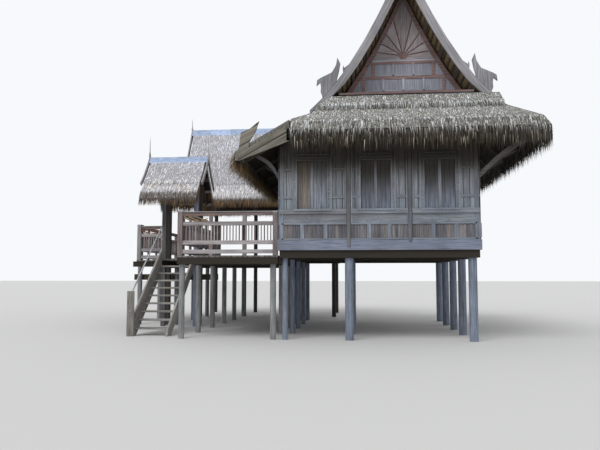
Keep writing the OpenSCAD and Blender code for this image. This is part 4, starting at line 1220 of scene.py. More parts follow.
@dataclass
class Thatch:
    """One thatched slab: a packed core, straws down its slopes and tufts that hang at its eave.

    Attributes:
        node: name of the slab's node.
        layers: its layers of straws.
        core: finish of the core.
        under: finish of the core's underside.
        eaves: the sides at which it ends in a fringe.
        eave_top: height under which a cut end counts as an eave.
        cut: what the core loses at its lowest edge.
        inset: what it loses at its eaves.
        drop: how far the straws hang under it.
        dark_rim: whether its cut ends have the finish of the underside, painted dark as shade behind the
            fringe.
        seed: start of the random draws.
    """

    node: str
    layers: tuple[Layer, ...]
    core: Finish
    under: Finish
    eaves: tuple[Eave, ...]
    eave_top: float = 99.0
    cut: float = 0.0
    inset: float = 0.06
    drop: float = 0.06
    dark_rim: bool = False
    seed: int = 1

    def build(self) -> None:
        """Makes the core and its layers."""
        shape = copy_of(self.node)
        low = min(v.co.z for v in shape.verts)
        sides = [eave.value for eave in self.eaves]
        ends = {(axis, side): side * max(side * v.co[axis] for v in shape.verts) for axis, side in sides}
        axis, side = sides[0]
        rim = max(v.co.z for v in shape.verts if abs(v.co[axis] - ends[axis, side]) < AT_EDGE)
        for vert in shape.verts:
            if vert.co.z < low + AT_EDGE / 10:
                vert.co.z += self.cut
            for (axis, side), end in ends.items():
                if abs(vert.co[axis] - end) < AT_EDGE:
                    vert.co[axis] -= side * self.inset
        shape.normal_update()
        for face in shape.faces:
            # Undersides and dark rims take the under finish, on most slabs a painted shade
            dark = face.normal.z < UNDER_UP or (self.dark_rim and self._takes(face, Face.EAVE))
            face.material_index = 1 if dark else 0
        core = bpy.data.meshes.new(self.node + "_core")
        shape.to_mesh(core)
        core.materials.append(self.core.material())
        core.materials.append(self.under.material())
        adopt(core, self.node + "_core", THATCH, [self.node])
        laid: dict[str, list[Mesh]] = {}
        for number, layer in enumerate(self.layers):
            made = self._lay(shape, layer, low - self.drop, rim, self.seed * 10 + number)
            if made:
                laid.setdefault(layer.suffix, []).append(made)
        shape.free()
        for suffix, meshes in laid.items():
            adopt(join(meshes, self.node + suffix), self.node + suffix, THATCH)

    def _takes(self, face: Facet, kind: Face) -> bool:
        """Tells whether a face takes a layer.

        Args:
            face: the face.
            kind: kind of face that the layer goes on.

        Returns:
            True where it does.
        """
        if kind is Face.SLOPE:
            return face.normal.z > SLOPE_UP
        turn = -1.0 if kind is Face.BACK else 1.0
        outwards = (face.normal[axis] * side * turn for axis, side in (eave.value for eave in self.eaves))
        upright = abs(face.normal.z) < EAVE_UP and face.calc_center_median().z < self.eave_top
        return upright and max(outwards) > EAVE_OUT

    def _lay(self, shape: Shape, layer: Layer, low: float, rim: float, seed: int) -> Optional[Mesh]:
        """Lays one layer.

        Args:
            shape: the slab.
            layer: the layer.
            low: height under which no straw reaches.
            rim: height of the upper edge of the eave.
            seed: seed of the random draws.

        Returns:
            The straws, or None where no face takes the layer.
        """
        part = shape.copy()
        idle = [f for f in part.faces if not self._takes(f, layer.face)]
        bmesh.ops.delete(part, geom=idle, context="FACES")
        made = None
        if part.faces:
            source = bpy.data.meshes.new("source")
            part.to_mesh(source)
            values = {name: getattr(layer, name) for name in (*LAYER_SIZES, "segments")}
            values["root_low"], values["root_high"] = (rim + end for end in layer.reach)
            values["low"], values["high"] = (*CAD_BOX[0][:2], low), tuple(CAD_BOX[1])
            values["seed"], values["material"] = seed, layer.finish.material()
            made = STRAW_TOOL.apply(source, values)
        part.free()
        return made if made and made.polygons else None


def coat(finish: Straw, density: float = 520.0, length: float = 0.24) -> tuple[Layer, ...]:
    """Layers of fine straws and of coarser tufts on the slopes of a roof.

    Args:
        finish: finish of the straws.
        density: fine straws for each square metre.
        length: length of a fine straw.

    Returns:
        The layers.
    """
    fine = Layer(Face.SLOPE, finish, density, length, 0.0075, lift=0.06, spread=0.055, suffix="_coat")
    coarse = replace(
        fine, density=density * 0.14, length=length * 1.1, width=0.01425, lift=0.07, spread=0.06, clump=5.0
    )
    return fine, coarse


def fringe(
    finish: Straw,
    under: Straw,
    length: float,
    share: float,
    back: Optional[Straw] = None,
    high: float = FAR,
    flare: float = 1.0,
    rise: float = 0.3,
) -> tuple[Layer, ...]:
    """Brown straws behind, tufts that bend over the rim and fine straws between them.

    Args:
        finish: finish of the tufts.
        under: finish of the straws behind.
        length: length of the straws behind.
        share: length of the tufts as a share of that.
        back: finish of the straws on the inner face, if not that of the straws behind.
        high: height over the rim up to which straws are rooted.
        flare: how much the straws stand out.
        rise: height over the rim up to which tufts lie on the slope.

    Returns:
        The layers.
    """
    tuft, top = length * share, min(high, 0.3)
    behind = Layer(
        Face.EAVE, under, 640.0, length * 0.9, 0.009, lift=0.02 * flare, spread=0.08 * flare,
        reach=(-FAR, high),
    )
    stout = replace(behind, density=190.0, length=length * 1.05, width=0.016, lift=0.05 * flare, clump=5.0)
    inner = Layer(Face.BACK, back or under, 300.0, length * 1.1, 0.013, lift=0.03, reach=(-FAR, -0.05))
    over = Layer(
        Face.SLOPE, finish, 260.0, tuft * 1.2, 0.015, lift=0.06, spread=0.08, fall=0.11, segments=2,
        clump=6.0, reach=(-0.05, rise),
    )
    tufts = Layer(
        Face.EAVE, finish, 300.0, tuft * 1.1, 0.014, lift=0.11 * flare, spread=0.09 * flare, segments=2,
        clump=5.0, reach=(-0.1, top),
    )
    strands = Layer(
        Face.EAVE, finish, 220.0, tuft * 1.4, 0.007, lift=0.12 * flare, spread=0.12 * flare,
        clump=4.0, reach=(-0.16, top),
    )
    return behind, stout, inner, over, tufts, strands


class WallSide(Enum):
    """The four walls: the axis along them, their outer face and the side it looks to."""

    FRONT = (0, -0.16, -1.0)
    BACK = (0, 6.76, 1.0)
    LEFT = (1, -1.725, -1.0)
    RIGHT = (1, 3.16, 1.0)

    @property
    def along_x(self) -> bool:
        """Whether the wall runs along X."""
        return self.value[0] == 0

    def place(self, along: float, out: float, height: float) -> Vector:
        """Point by its distance along the wall, out of its face and above the ground."""
        _, face, sign = self.value
        depth = face + sign * out
        return Vector((along, depth, height) if self.along_x else (depth, along, height))


POSTS_ALONG_X = (-1.725, 0.0, 1.5, 3.16)
POSTS_ALONG_Y = (-0.16, 1.65, 3.3, 4.95, 6.76)
WINDOWS: dict[WallSide, tuple[float, ...]] = {
    WallSide.FRONT: (-0.91, 0.67, 2.23),
    WallSide.BACK: (-0.91, 0.67, 2.23),
    WallSide.LEFT: (0.825, 4.125, 5.775),
    WallSide.RIGHT: (0.825, 2.475, 4.125, 5.775),
}
DOORS: dict[WallSide, Span] = {WallSide.LEFT: (2.025, 2.925)}


@dataclass
class WallFittings:
    """Window leaves, mouldings, stiles and slatted low panels of one wall.

    A place out of the wall counts from its face. A strip is given by its gap to what it stands
    beside, its width and its thickness.

    Attributes:
        side: the wall.
        window_w: width of a window.
        window_z: heights of its foot and its head.
        leaf_planks: planks of a window leaf.
        leaf_edge: gap of a leaf to the window's middle and to its jamb.
        plank_gap: gap between two planks, and how far the middle one stands out.
        leaf_back: place of a leaf's back.
        leaf_thick: its thickness.
        mullion: half the width, the back and the front of the board between two leaves.
        relief: place of the framing's face, which the strips lie on.
        sunk: how deep a strip's back is sunk in it.
        jamb: the strip beside a window.
        casing: the strip outside that.
        casing_rise: height of the casing over the window.
        head_bands: foot over the window and thickness of each moulding there.
        head_band_h: height of such a moulding.
        sill_bands: overhang, foot, head and thickness of each moulding at the window's foot.
        sill_out: place of the face of the carved board under it.
        rays: rays to each side of the upright one.
        ray_turn: degrees from ray to ray.
        ray_fan: width and height of the half circle they stand on.
        ray_foot: height of its middle.
        ray_half: half the width, thickness and length of a ray.
        panel_z: heights of the slatted panels.
        panels: panels of a bay.
        slats: slats of a panel.
        slat_gap: gaps before and after a slat.
        slat_thick: its least thickness, and what chance adds at most.
        warm_slats: share of the slats that are warm.
        stile: half the width of a stile, with its joints.
        stile_strip: start and end of the strip on a stile, from the panel.
        stile_past: how far it reaches past the panel.
        rail_z: heights of the strips on the rails.
        rail_end: gap between them and the posts.
        post_strip: the strip beside the middle of a post.
        post_strip_z: its heights.
        corner_strip: start and end of the corner strip from the corner.
        corner_strip_z: its heights.
    """

    side: WallSide
    window_w: float = 0.73
    window_z: Span = (3.23, 4.44)
    leaf_planks: int = 3
    leaf_edge: Span = (0.006, 0.002)
    plank_gap: float = 0.004
    leaf_back: float = -0.034
    leaf_thick: float = 0.026
    mullion: Triple = (0.034, -0.012, 0.016)
    relief: float = 0.024
    sunk: float = 0.003
    jamb: Triple = (0.002, 0.04, 0.014)
    casing: Triple = (0.085, 0.05, 0.01)
    casing_rise: float = 0.2
    head_bands: tuple[Span, ...] = ((0.002, 0.02), (0.075, 0.012), (0.15, 0.026))
    head_band_h: float = 0.034
    sill_bands: tuple[tuple[float, ...], ...] = ((0.1, -0.048, 0.002, 0.02), (0.07, -0.115, -0.092, 0.01))
    sill_out: float = 0.064
    rays: int = 4
    ray_turn: float = 19.0
    ray_fan: Span = (0.19, 0.13)
    ray_foot: float = 2.885
    ray_half: Triple = (0.008, 0.004, 0.075)
    panel_z: Span = (2.51, 2.84)
    panels: int = 3
    slats: int = 5
    slat_gap: Span = (0.002, 0.004)
    slat_thick: Span = (0.004, 0.007)
    warm_slats: float = 0.3
    stile: float = 0.053
    stile_strip: Span = (0.008, 0.098)
    stile_past: float = 0.01
    rail_z: tuple[Span, ...] = ((2.844, 2.884), (2.464, 2.506))
    rail_end: float = 0.06
    post_strip: Triple = (0.055, 0.04, 0.012)
    post_strip_z: Span = (2.88, 4.83)
    corner_strip: Span = (0.005, 0.105)
    corner_strip_z: Span = (2.47, 4.83)

    def __post_init__(self) -> None:
        """Starts the set of boards."""
        self.shop = Carpenter(f"wall_{self.side.name.lower()}", BOARDS, FINE_EASE)

    def build(self) -> None:
        """Makes the fittings as one piece; the front's stand for the plain window leaves."""
        for number, middle in enumerate(WINDOWS[self.side]):
            self._window(middle, number == 0)
        posts = POSTS_ALONG_X if self.side.along_x else POSTS_ALONG_Y
        for start, end in zip(posts, posts[1:]):
            self._bay(start, end)
        for post in posts[1:-1]:
            self._pair(post, 0.0, self.post_strip, self.post_strip_z)
        near, far = self.corner_strip
        for edge in (posts[0], posts[-1] - near - far):
            self._strip((edge + near, edge + far), self.corner_strip_z, 0.01)
        self.shop.build(["shutters"] if self.side is WallSide.FRONT else ())

    def _blocked(self, low: float, high: float) -> bool:
        """Whether a stretch of the wall meets the doorway."""
        door = DOORS.get(self.side)
        return door is not None and high > door[0] and low < door[1]

    def _strip(self, along: Span, rise: Span, thick: float, out: Optional[float] = None) -> None:
        """Adds a pale board that lies on the framing, unless it meets the doorway.

        Args:
            along: its start and end along the wall.
            rise: heights of its lower and upper edge.
            thick: its thickness.
            out: where its back lies out of the wall, if not on the framing.
        """
        if self._blocked(*along):
            return
        back = self.relief if out is None else out
        low = self.side.place(along[0], back - self.sunk, rise[0])
        self.shop.board(low, self.side.place(along[1], back + thick, rise[1]), TRIM)

    def _pair(self, middle: float, half: float, board: Triple, rise: Span) -> None:
        """Adds the same upright strip to the left and right of something.

        Args:
            middle: the middle of what the strips stand beside.
            half: half its width.
            board: gap, width and thickness of a strip.
            rise: heights of its lower and upper edge.
        """
        gap, width, thick = board
        for edge in (middle - half - gap - width, middle + half + gap):
            self._strip((edge, edge + width), rise, thick)

    def _window(self, middle: float, mixed: bool) -> None:
        """Adds the leaves, jambs, casing, head and foot of a window.

        Args:
            middle: its middle along the wall.
            mixed: whether its left leaf is warmer and its right leaf paler than others.
        """
        half, (foot, head) = self.window_w / 2, self.window_z
        self._leaf(middle, -1, WARM_LEAF if mixed else LEAF)
        self._leaf(middle, 1, LIGHT_LEAF if mixed else LEAF)
        wide, back, front = self.mullion
        low = self.side.place(middle - wide, back, foot)
        self.shop.board(low, self.side.place(middle + wide, front, head), TRIM)
        gap, width, _ = self.jamb
        self._pair(middle, half, self.jamb, (foot, head + width))
        self._pair(middle, half, self.casing, (foot, head + self.casing_rise))
        reach = half + gap + width
        for rise, thick in self.head_bands:
            rises = (head + rise, head + rise + self.head_band_h)
            self._strip((middle - reach, middle + reach), rises, thick)
        for past, low_edge, high_edge, thick in self.sill_bands:
            along = (middle - half - past, middle + half + past)
            self._strip(along, (foot + low_edge, foot + high_edge), thick, self.sill_out)
        self._rays(middle)

    def _leaf(self, middle: float, side: int, finish: Finish) -> None:
        """Adds the planks of a window leaf; the middle plank stands out a little.

        Args:
            middle: middle of the window along the wall.
            side: -1 for the leaf with the lower coordinates, 1 for the other.
            finish: its wood.
        """
        width = (self.window_w / 2 - sum(self.leaf_edge)) / self.leaf_planks
        for plank in range(self.leaf_planks):
            near = middle + side * (self.leaf_edge[0] + plank * width)
            far = near + side * (width - self.plank_gap)
            back = self.leaf_back + (self.plank_gap if plank == 1 else 0.0)
            low = self.side.place(near, back, self.window_z[0])
            self.shop.board(low, self.side.place(far, back + self.leaf_thick, self.window_z[1]), finish)

    def _rays(self, middle: float) -> None:
        """Adds the carved rays on the board under a window."""
        across, up = self.ray_fan
        wide, thick, tall = self.ray_half
        half = Vector((wide, thick, tall) if self.side.along_x else (thick, wide, tall))
        for number in range(-self.rays, self.rays + 1):
            turn = math.radians(number * self.ray_turn)
            height = self.ray_foot + up * math.cos(turn)
            centre = self.side.place(middle + across * math.sin(turn), self.relief + 0.002, height)
            angle = (0.0, turn, 0.0) if self.side.along_x else (-turn, 0.0, 0.0)
            self.shop.board(centre - half, centre + half, TRIM, angle)

    def _bay(self, start: float, end: float) -> None:
        """Adds the slatted low panels of a bay, their stiles and their rails.

        Args:
            start: the post at which the bay begins.
            end: the post at which it ends.
        """
        foot, head = self.panel_z
        for number in range(self.panels):
            left = start + (end - start) * number / self.panels + self.stile
            right = start + (end - start) * (number + 1) / self.panels - self.stile
            width = (right - left) / self.slats
            for slat in range(self.slats):
                near = left + slat * width
                thick = self.slat_thick[0] + self.slat_thick[1] * self.shop.chance.random()
                wood = WARM_SLAT if self.shop.chance.random() < self.warm_slats else SLAT
                if not self._blocked(near, near + width):
                    before, after = self.slat_gap
                    low = self.side.place(near + before, -self.sunk, foot)
                    self.shop.board(low, self.side.place(near + width - after, thick, head), wood)
            along = (right + self.stile_strip[0], right + self.stile_strip[1])
            self._strip(along, (foot - self.stile_past, head + self.stile_past), 0.008)
        for edges in self.rail_z:
            self._strip((start + self.rail_end, end - self.rail_end), edges, 0.01)


@dataclass
class Railing:
    """One railing panel: posts with pale heads, four rails, stubs between them and balusters.

    Attributes:
        start: corner of its first post on the deck.
        length: its length over both posts.
        deep: whether it runs along Y, and not along X.
        carving: finish of the openwork in its first bay, if it has any.
        posts: finish of its posts and stubs.
        rails: heights of its rails over the deck; the last is the hand rail.
        post_w: width of a post.
        post_h: heights of the first and the last post.
        head_h: height of a post's head.
        post_half: half the thickness of a post and of its head.
        rail_half: half the thickness of a rail and of a stub.
        grip: half the thickness of the hand rail, and half the thickness and the height of its cap.
        bay: usual length of a bay.
        stub_half: half the width of a stub.
        pitch: distance from baluster to baluster.
        baluster: width and half the thickness of a baluster.
        dark_share: share of the balusters that are darker.
    """

    start: Vector
    length: float
    deep: bool = False
    carving: Optional[Finish] = None
    posts: Finish = RAIL_POST
    rails: tuple[Span, ...] = ((0.05, 0.15), (0.28, 0.38), (0.76, 0.86), (1.01, 1.12))
    post_w: float = 0.13
    post_h: Span = (1.165, 1.12)
    head_h: float = 0.05
    post_half: Span = (0.062, 0.065)
    rail_half: float = 0.028
    grip: Triple = (0.026, 0.045, 0.026)
    bay: float = 0.85
    stub_half: float = 0.045
    pitch: float = 0.08
    baluster: Span = (0.03, 0.0125)
    dark_share: float = 0.4

    def _place(self, along: float, side: float, rise: float) -> Vector:
        """Point by its distance along the panel, to its side and above the deck."""
        return self.start + Vector((-side, along, rise) if self.deep else (along, side, rise))

    def _board(self, shop: Carpenter, along: Span, side: float, rise: Span, finish: Finish) -> None:
        """Adds one board that is centred on the panel's plane.

        Args:
            shop: collects the boards.
            along: its start and end along the panel.
            side: half its thickness.
            rise: its lower and upper edge over the deck.
            finish: its wood.
        """
        shop.board(self._place(along[0], -side, rise[0]), self._place(along[1], side, rise[1]), finish)

    def fill(self, shop: Carpenter) -> None:
        """Adds the panel's boards to the shop.

        Args:
            shop: collects the boards.
        """
        for at, top in zip((0.0, self.length - self.post_w), self.post_h):
            neck, (slim, wide) = top - self.head_h, self.post_half
            inset = wide - slim
            self._board(shop, (at + inset, at + self.post_w - inset), slim, (0.0, neck), self.posts)
            self._board(shop, (at, at + self.post_w), wide, (neck, top), FINIAL)
        foot, low, high, (grip, crown) = self.rails
        web, cap, cap_h = self.grip
        start, end = self.post_w - 0.01, self.length - self.post_w + 0.01
        for band in (foot, low, high):
            self._board(shop, (start, end), self.rail_half, band, RAIL)
        self._board(shop, (start, end), web, (grip, crown - cap_h - 0.004), RAIL_TOP)
        self._board(shop, (start - 0.01, end + 0.01), cap, (crown - cap_h, crown), RAIL)
        bays = max(1, round(self.length / self.bay))
        for number in range(1, bays):
            middle = self.length * number / bays
            along = (middle - self.stub_half, middle + self.stub_half)
            for edge, top in ((0.0, foot[0]), (foot[1], low[0]), (high[1], grip)):
                self._board(shop, along, self.rail_half, (edge - 0.004, top + 0.004), self.posts)
        at, (width, half) = self.post_w + self.pitch, self.baluster
        while at < self.length - self.post_w - width:
            wood = RAIL_TOP if shop.chance.random() < self.dark_share else RAIL
            self._board(shop, (at, at + width), half, (low[1] - 0.006, high[0] + 0.006), wood)
            at += self.pitch
        if self.carving:
            along = (self.post_w + 0.02, self.length / bays - 2.0 * self.stub_half)
            self._carve(shop, along, (high[1] + 0.005, grip - 0.005))

    def _carve(self, shop: Carpenter, along: Span, rise: Span) -> None:
        """Adds the openwork of three waved strips in the top gap of the first bay.

        Args:
            shop: collects the boards.
            along: its start and end along the panel.
            rise: its lower and upper edge over the deck.
        """
        steps = 12
        for strip in range(3):
            line = []
            for step in range(steps + 1):
                share = step / steps
                wave = 0.5 + 0.42 * math.sin(math.pi * (1.15 * share + 0.36 * strip) + 0.5)
                at = along[0] + (along[1] - along[0]) * share
                line.append(self._place(at, 0.0, rise[0] + (rise[1] - rise[0]) * wave))
            for a, b in zip(line, line[1:]):
                middle, run = (a + b) / 2, b - a
                flat = math.hypot(run.x, run.y)
                tilt = math.atan2(run.z, flat)
                long, thick, tall = flat / 2 + 0.004, 0.009, 0.014
                half = Vector((thick, long, tall) if self.deep else (long, thick, tall))
                turn = (tilt, 0.0, 0.0) if self.deep else (0.0, -tilt, 0.0)
                shop.board(middle - half, middle + half, self.carving, turn)


@dataclass
class RailingSet:
    """The panels that stand for one of the railing nodes."""

    node: str
    panels: tuple[Railing, ...]

    def build(self) -> None:
        """Makes the panels as one piece."""
        shop = Carpenter(self.node + "_timber", BROWN)
        for panel in self.panels:
            panel.fill(shop)
        shop.build([self.node])


@dataclass
class Studio:
    """Camera, plain floor and soft light, with angles in degrees.

    Attributes:
        eye: place of the camera.
        yaw: its turn to the left.
        pitch: its tilt upwards.
        lens: its focal length.
        sensor: width of its sensor.
        floor_half: half the width of the floor.
        floor_tone: its brightness.
        sky_strength: strength of the light from the sky.
        sky_shown: colour of the sky where it is seen.
        lamp_strength: strength of the lamp.
        lamp_angle: its spread.
        lamp_way: direction of its light.
    """

    eye: Triple = (0.291, -15.473, 1.6)
    yaw: float = 5.6
    pitch: float = 4.61
    lens: float = 37.2
    sensor: float = 36.0
    floor_half: float = 150.0
    floor_tone: float = 0.62
    sky_strength: float = 0.72
    sky_shown: Colour = (0.93, 0.95, 0.97)
    lamp_strength: float = 1.35
    lamp_angle: float = 35.0
    lamp_way: Triple = (0.35, 0.75, -1.0)

    def build(self) -> None:
        """Sets the view, the floor and the lights."""
        scene = bpy.context.scene
        scene.view_settings.view_transform = "Standard"
        self._camera(scene)
        self._floor(scene)
        self._light(scene)

    def _camera(self, scene: bpy.types.Scene) -> None:
        """Puts the camera where the picture was taken."""
        data = bpy.data.cameras.new("view")
        data.lens = self.lens
        data.sensor_width = self.sensor
        data.clip_end = 500.0
        camera = bpy.data.objects.new("view", data)
        scene.collection.objects.link(camera)
        yaw, pitch = math.radians(self.yaw), math.radians(self.pitch)
        flat = math.cos(pitch)
        ahead = Vector((-math.sin(yaw) * flat, math.cos(yaw) * flat, math.sin(pitch)))
        camera.location = self.eye
        camera.rotation_euler = ahead.to_track_quat("-Z", "Y").to_euler()
        scene.camera = camera

    def _floor(self, scene: bpy.types.Scene) -> None:
        """Lays a wide plain floor."""
        mesh = bpy.data.meshes.new("floor")
        signs = ((-1, -1), (1, -1), (1, 1), (-1, 1))
        mesh.from_pydata([(x * self.floor_half, y * self.floor_half, 0.0) for x, y in signs], [], [range(4)])
        made = bpy.data.materials.new("floor")
        made.use_nodes = True
        shader = made.node_tree.nodes["Principled BSDF"]
        shader.inputs["Base Color"].default_value = (self.floor_tone,) * 3 + (1.0,)
        shader.inputs["Roughness"].default_value = 0.95
        mesh.materials.append(made)
        floor = bpy.data.objects.new("floor", mesh)
        scene.collection.objects.link(floor)

    def _light(self, scene: bpy.types.Scene) -> None:
        """Adds the soft sky and one broad lamp."""
        world = bpy.data.worlds.new("sky")
        world.use_nodes = True
        world.node_tree.nodes.clear()
        graph = Graph(world.node_tree)
        seen, gloss = (
            graph.node("ShaderNodeLightPath", out=f"Is {kind} Ray") for kind in ("Camera", "Glossy")
        )
        light = graph.node("ShaderNodeBackground", {}, {0: (1.0, 1.0, 1.0), 1: self.sky_strength})
        shown = graph.node("ShaderNodeBackground", {}, {0: self.sky_shown, 1: 1.0})
        mixed = graph.node("ShaderNodeMixShader", {}, {0: seen.larger(gloss), 1: light, 2: shown})
        graph.node("ShaderNodeOutputWorld", {}, {"Surface": mixed})
        scene.world = world
        data = bpy.data.lights.new("lamp", "SUN")
        data.energy = self.lamp_strength
        data.angle = math.radians(self.lamp_angle)
        lamp = bpy.data.objects.new("lamp", data)
        scene.collection.objects.link(lamp)
        lamp.rotation_euler = Vector(self.lamp_way).to_track_quat("-Z", "Y").to_euler()


@dataclass
class GableScreen:
    """Backing, mullions and thin rails of the carved sunburst in both gables.

    Attributes:
        faces: place of each gable's boards along Y and the side they look to.
        seats: place along Y of the foot rail of each gable.
        mullion_rows: foot, head and places across the gable of each row of mullions.
        mullion_half: half the width of a mullion.
        rails: foot, head and half the length of each thin rail.
        band: foot, head and half the length of the pale band behind the hub.
        foot_rail: the same of the rail at the gable's foot.
        backing_foot: height of the backing's lower edge.
        backing_half: half its width.
        backing_drop: how far its upper edge lies under the roof line.
    """

    faces: tuple[Span, ...] = ((1.5, -1.0), (5.1, 1.0))
    seats: Span = (0.634, 5.966)
    mullion_rows: tuple[tuple[float, float, tuple[float, ...]], ...] = (
        (6.66, 7.008, (-0.55, 0.0, 0.55)),
        (7.088, 7.437, (-0.275, 0.275)),
    )
    mullion_half: float = 0.027
    rails: tuple[Triple, ...] = (
        (6.661, 6.695, 1.05),
        (7.089, 7.123, 0.78),
        (7.5, 7.548, 0.86),
    )
    band: Triple = (7.52, 7.64, 0.62)
    foot_rail: Triple = (6.352, 6.398, 1.735)
    backing_foot: float = 7.6
    backing_half: float = 0.8
    backing_drop: float = 0.69

    def build(self) -> None:
        """Adds the mullions and rails before the frame and the backing behind the rays."""
        shop = Carpenter("gable_screen", BROWN, FINE_EASE)
        for (face, sign), seat in zip(self.faces, self.seats):
            self._screen(shop, face, sign, seat)
        shop.build()
        shape = bmesh.new()
        for face, sign in self.faces:
            self._backing(shape, face, sign)
        bmesh.ops.recalc_face_normals(shape, faces=shape.faces)
        adopt(plain_mesh(shape, "gable_backing", GABLE_SHADE), "gable_backing", BROWN)

    def _screen(self, shop: Carpenter, face: float, sign: float, seat: float) -> None:
        """Adds the mullions and the rails of one gable.

        Args:
            shop: collects the boards.
            face: place of the gable's boards along Y.
            sign: the side they look to.
            seat: place of the foot rail along Y.
        """
        near, far = face + sign * 0.015, face + sign * 0.028
        for foot, head, places in self.mullion_rows:
            for place in places:
                x = RIDGE_X + place
                half = self.mullion_half
                shop.board((x - half, near, foot), (x + half, far, head), GABLE_PANEL)
        rows = [(rail, near, far, GABLE_PANEL) for rail in self.rails]
        rows.append((self.band, face + sign * 0.004, face + sign * 0.01, RAY))
        rows.append((self.foot_rail, seat, seat - sign * 0.012, GABLE_FRAME))
        for (foot, head, half), back, front, finish in rows:
            shop.board((RIDGE_X - half, back, foot), (RIDGE_X + half, front, head), finish)

    def _backing(self, shape: Shape, face: float, sign: float) -> None:
        """Adds the thin dark board behind the rays of one gable.

        Args:
            shape: the mesh that grows.
            face: place of the gable's boards along Y.
            sign: the side they look to.
        """
        steps = 8
        runs = [self.backing_half * step / steps for step in range(steps + 1)]
        right = [(run, STEEP_ROOF.height(run) - self.backing_drop) for run in runs]
        top = [(-run, height) for run, height in reversed(right[1:])] + right
        line = [(top[0][0], self.backing_foot), *top, (top[-1][0], self.backing_foot)]
        rings = []
        for out in (-0.004, 0.004):
            rings.append([shape.verts.new((RIDGE_X + run, face + sign * out, z)) for run, z in line])
        for ring in rings:
            shape.faces.new(ring)
        bridge(shape, rings)


def bridge(shape: Shape, rings: list[Ring]) -> None:
    """Joins closed rings of points with faces, each ring to the next."""
    for one, other in zip(rings, rings[1:]):
        for (a, b), (c, d) in zip(zip(one, one[1:] + one[:1]), zip(other, other[1:] + other[:1])):
            shape.faces.new((a, b, d, c))


def plain_mesh(shape: Shape, name: str, finish: Finish) -> Mesh:
    """Turns a shape into a mesh with one finish.

    Args:
        shape: the shape, which is freed.
        name: name of the mesh.
        finish: its finish.

    Returns:
        The mesh.
    """
    mesh = bpy.data.meshes.new(name)
    shape.to_mesh(mesh)
    shape.free()
    mesh.materials.append(finish.material())
    return mesh


@dataclass
class RoofBattens:
    """The battens that show under both overhangs of the steep roof.

    Attributes:
        overhangs: start and end of each overhang along Y.
        runs: first and last run from the ridge at which a batten lies.
        pitch: distance from batten to batten down the slope.
        under: how far their middle lies under the roof line.
        half: half the width and the thickness of a batten.
    """

    overhangs: tuple[Span, ...] = ((0.715, 1.475), (5.125, 5.885))
    runs: Span = (0.22, 2.1)
    pitch: float = 0.17
    under: float = 0.15
    half: Span = (0.03, 0.014)

    def build(self) -> None:
        """Makes the battens as one piece."""
        shop = Carpenter("roof_battens", DARK_BEAMS, FINE_EASE)
        for near, far in self.overhangs:
            half = Vector((self.half[0], (far - near) / 2, self.half[1]))
            for side in (-1, 1):
                run = self.runs[0]
                while run < self.runs[1]:
                    slope = STEEP_ROOF.steepness(run)
                    x = RIDGE_X + side * (run - self.under * math.sin(slope))
                    z = STEEP_ROOF.height(run) - self.under * math.cos(slope)
                    middle = Vector((x, (near + far) / 2, z))
                    shop.board(middle - half, middle + half, RAFTER, (0.0, side * slope, 0.0))
                    run += self.pitch * math.cos(slope) + 0.02
        shop.build()


@dataclass
class RidgeRun:
    """A row of overlapping folded sheets along one ridge.

    Attributes:
        along: axis of the ridge, 0 for X and 1 for Y.
        start: where it begins on that axis.
        end: where it ends.
        middle: its place on the other axis.
        top: its height.
        half: half the width of a sheet.
        fall: how far its edges lie under its top.
        pitch: usual length of a sheet.
        lap: how far a sheet lies over the one before it.
        fold: height of the fold at its edge.
        sink: how far all sheets are lowered.
    """

    along: int
    start: float
    end: float
    middle: float
    top: float
    half: float
    fall: float
    pitch: float = 0.85
    lap: float = 0.05
    fold: float = 0.03
    sink: float = 0.012

    def fill(self, shape: Shape, tones: Tones, chance: random.Random) -> None:
        """Adds the sheets.

        Args:
            shape: the mesh that grows.
            tones: layer that keeps the tone of each sheet.
            chance: source of the small differences.
        """
        count = max(1, round((self.end - self.start) / self.pitch))
        pitch = (self.end - self.start) / count
        for number in range(count):
            near, far = self.start + number * pitch, self.start + (number + 1) * pitch
            tone = chance.random()
            rows = (
                (near - (self.lap if number else 0.0), 0.01 if number else 0.004),
                (near + 0.02, 0.009 if number else 0.004),
                ((near + far) / 2, 0.003 + 0.004 * chance.random()),
                (far, 0.0),
            )
            rings = [self._ring(shape, at, lift) for at, lift in rows]
            for vert in (vert for ring in rings for vert in ring):
                vert[tones] = tone
            bridge(shape, rings)
            for ring in (rings[0], rings[-1]):
                half = len(ring) // 2
                for outer, inner in zip(zip(ring[:half], ring[1:half]), zip(ring[::-1], ring[-2::-1])):
                    shape.faces.new((outer[0], outer[1], inner[1], inner[0]))

    def _ring(self, shape: Shape, at: float, lift: float) -> Ring:
        """One cross section of a sheet, outside first and then back along the inside.

        Args:
            shape: the mesh that grows.
            at: its place along the ridge.
            lift: how far it is lifted and widened.

        Returns:
            The points of the section.
        """
        low, shoulder = self.top - self.fall, (0.018, self.top - 0.012)
        right = [shoulder, (self.half, low), (self.half + 0.012, low - self.fold)]
        outer = [(-side, height) for side, height in reversed(right)] + [(0.0, self.top)] + right
        inner = [(side * 0.965, height - 0.005) for side, height in reversed(outer)]
        ring = []
        for side, height in outer + inner:
            across = self.middle + side * (1.0 + lift)
            place = (across, at) if self.along == 1 else (at, across)
            ring.append(shape.verts.new((*place, height + lift - self.sink)))
        return ring


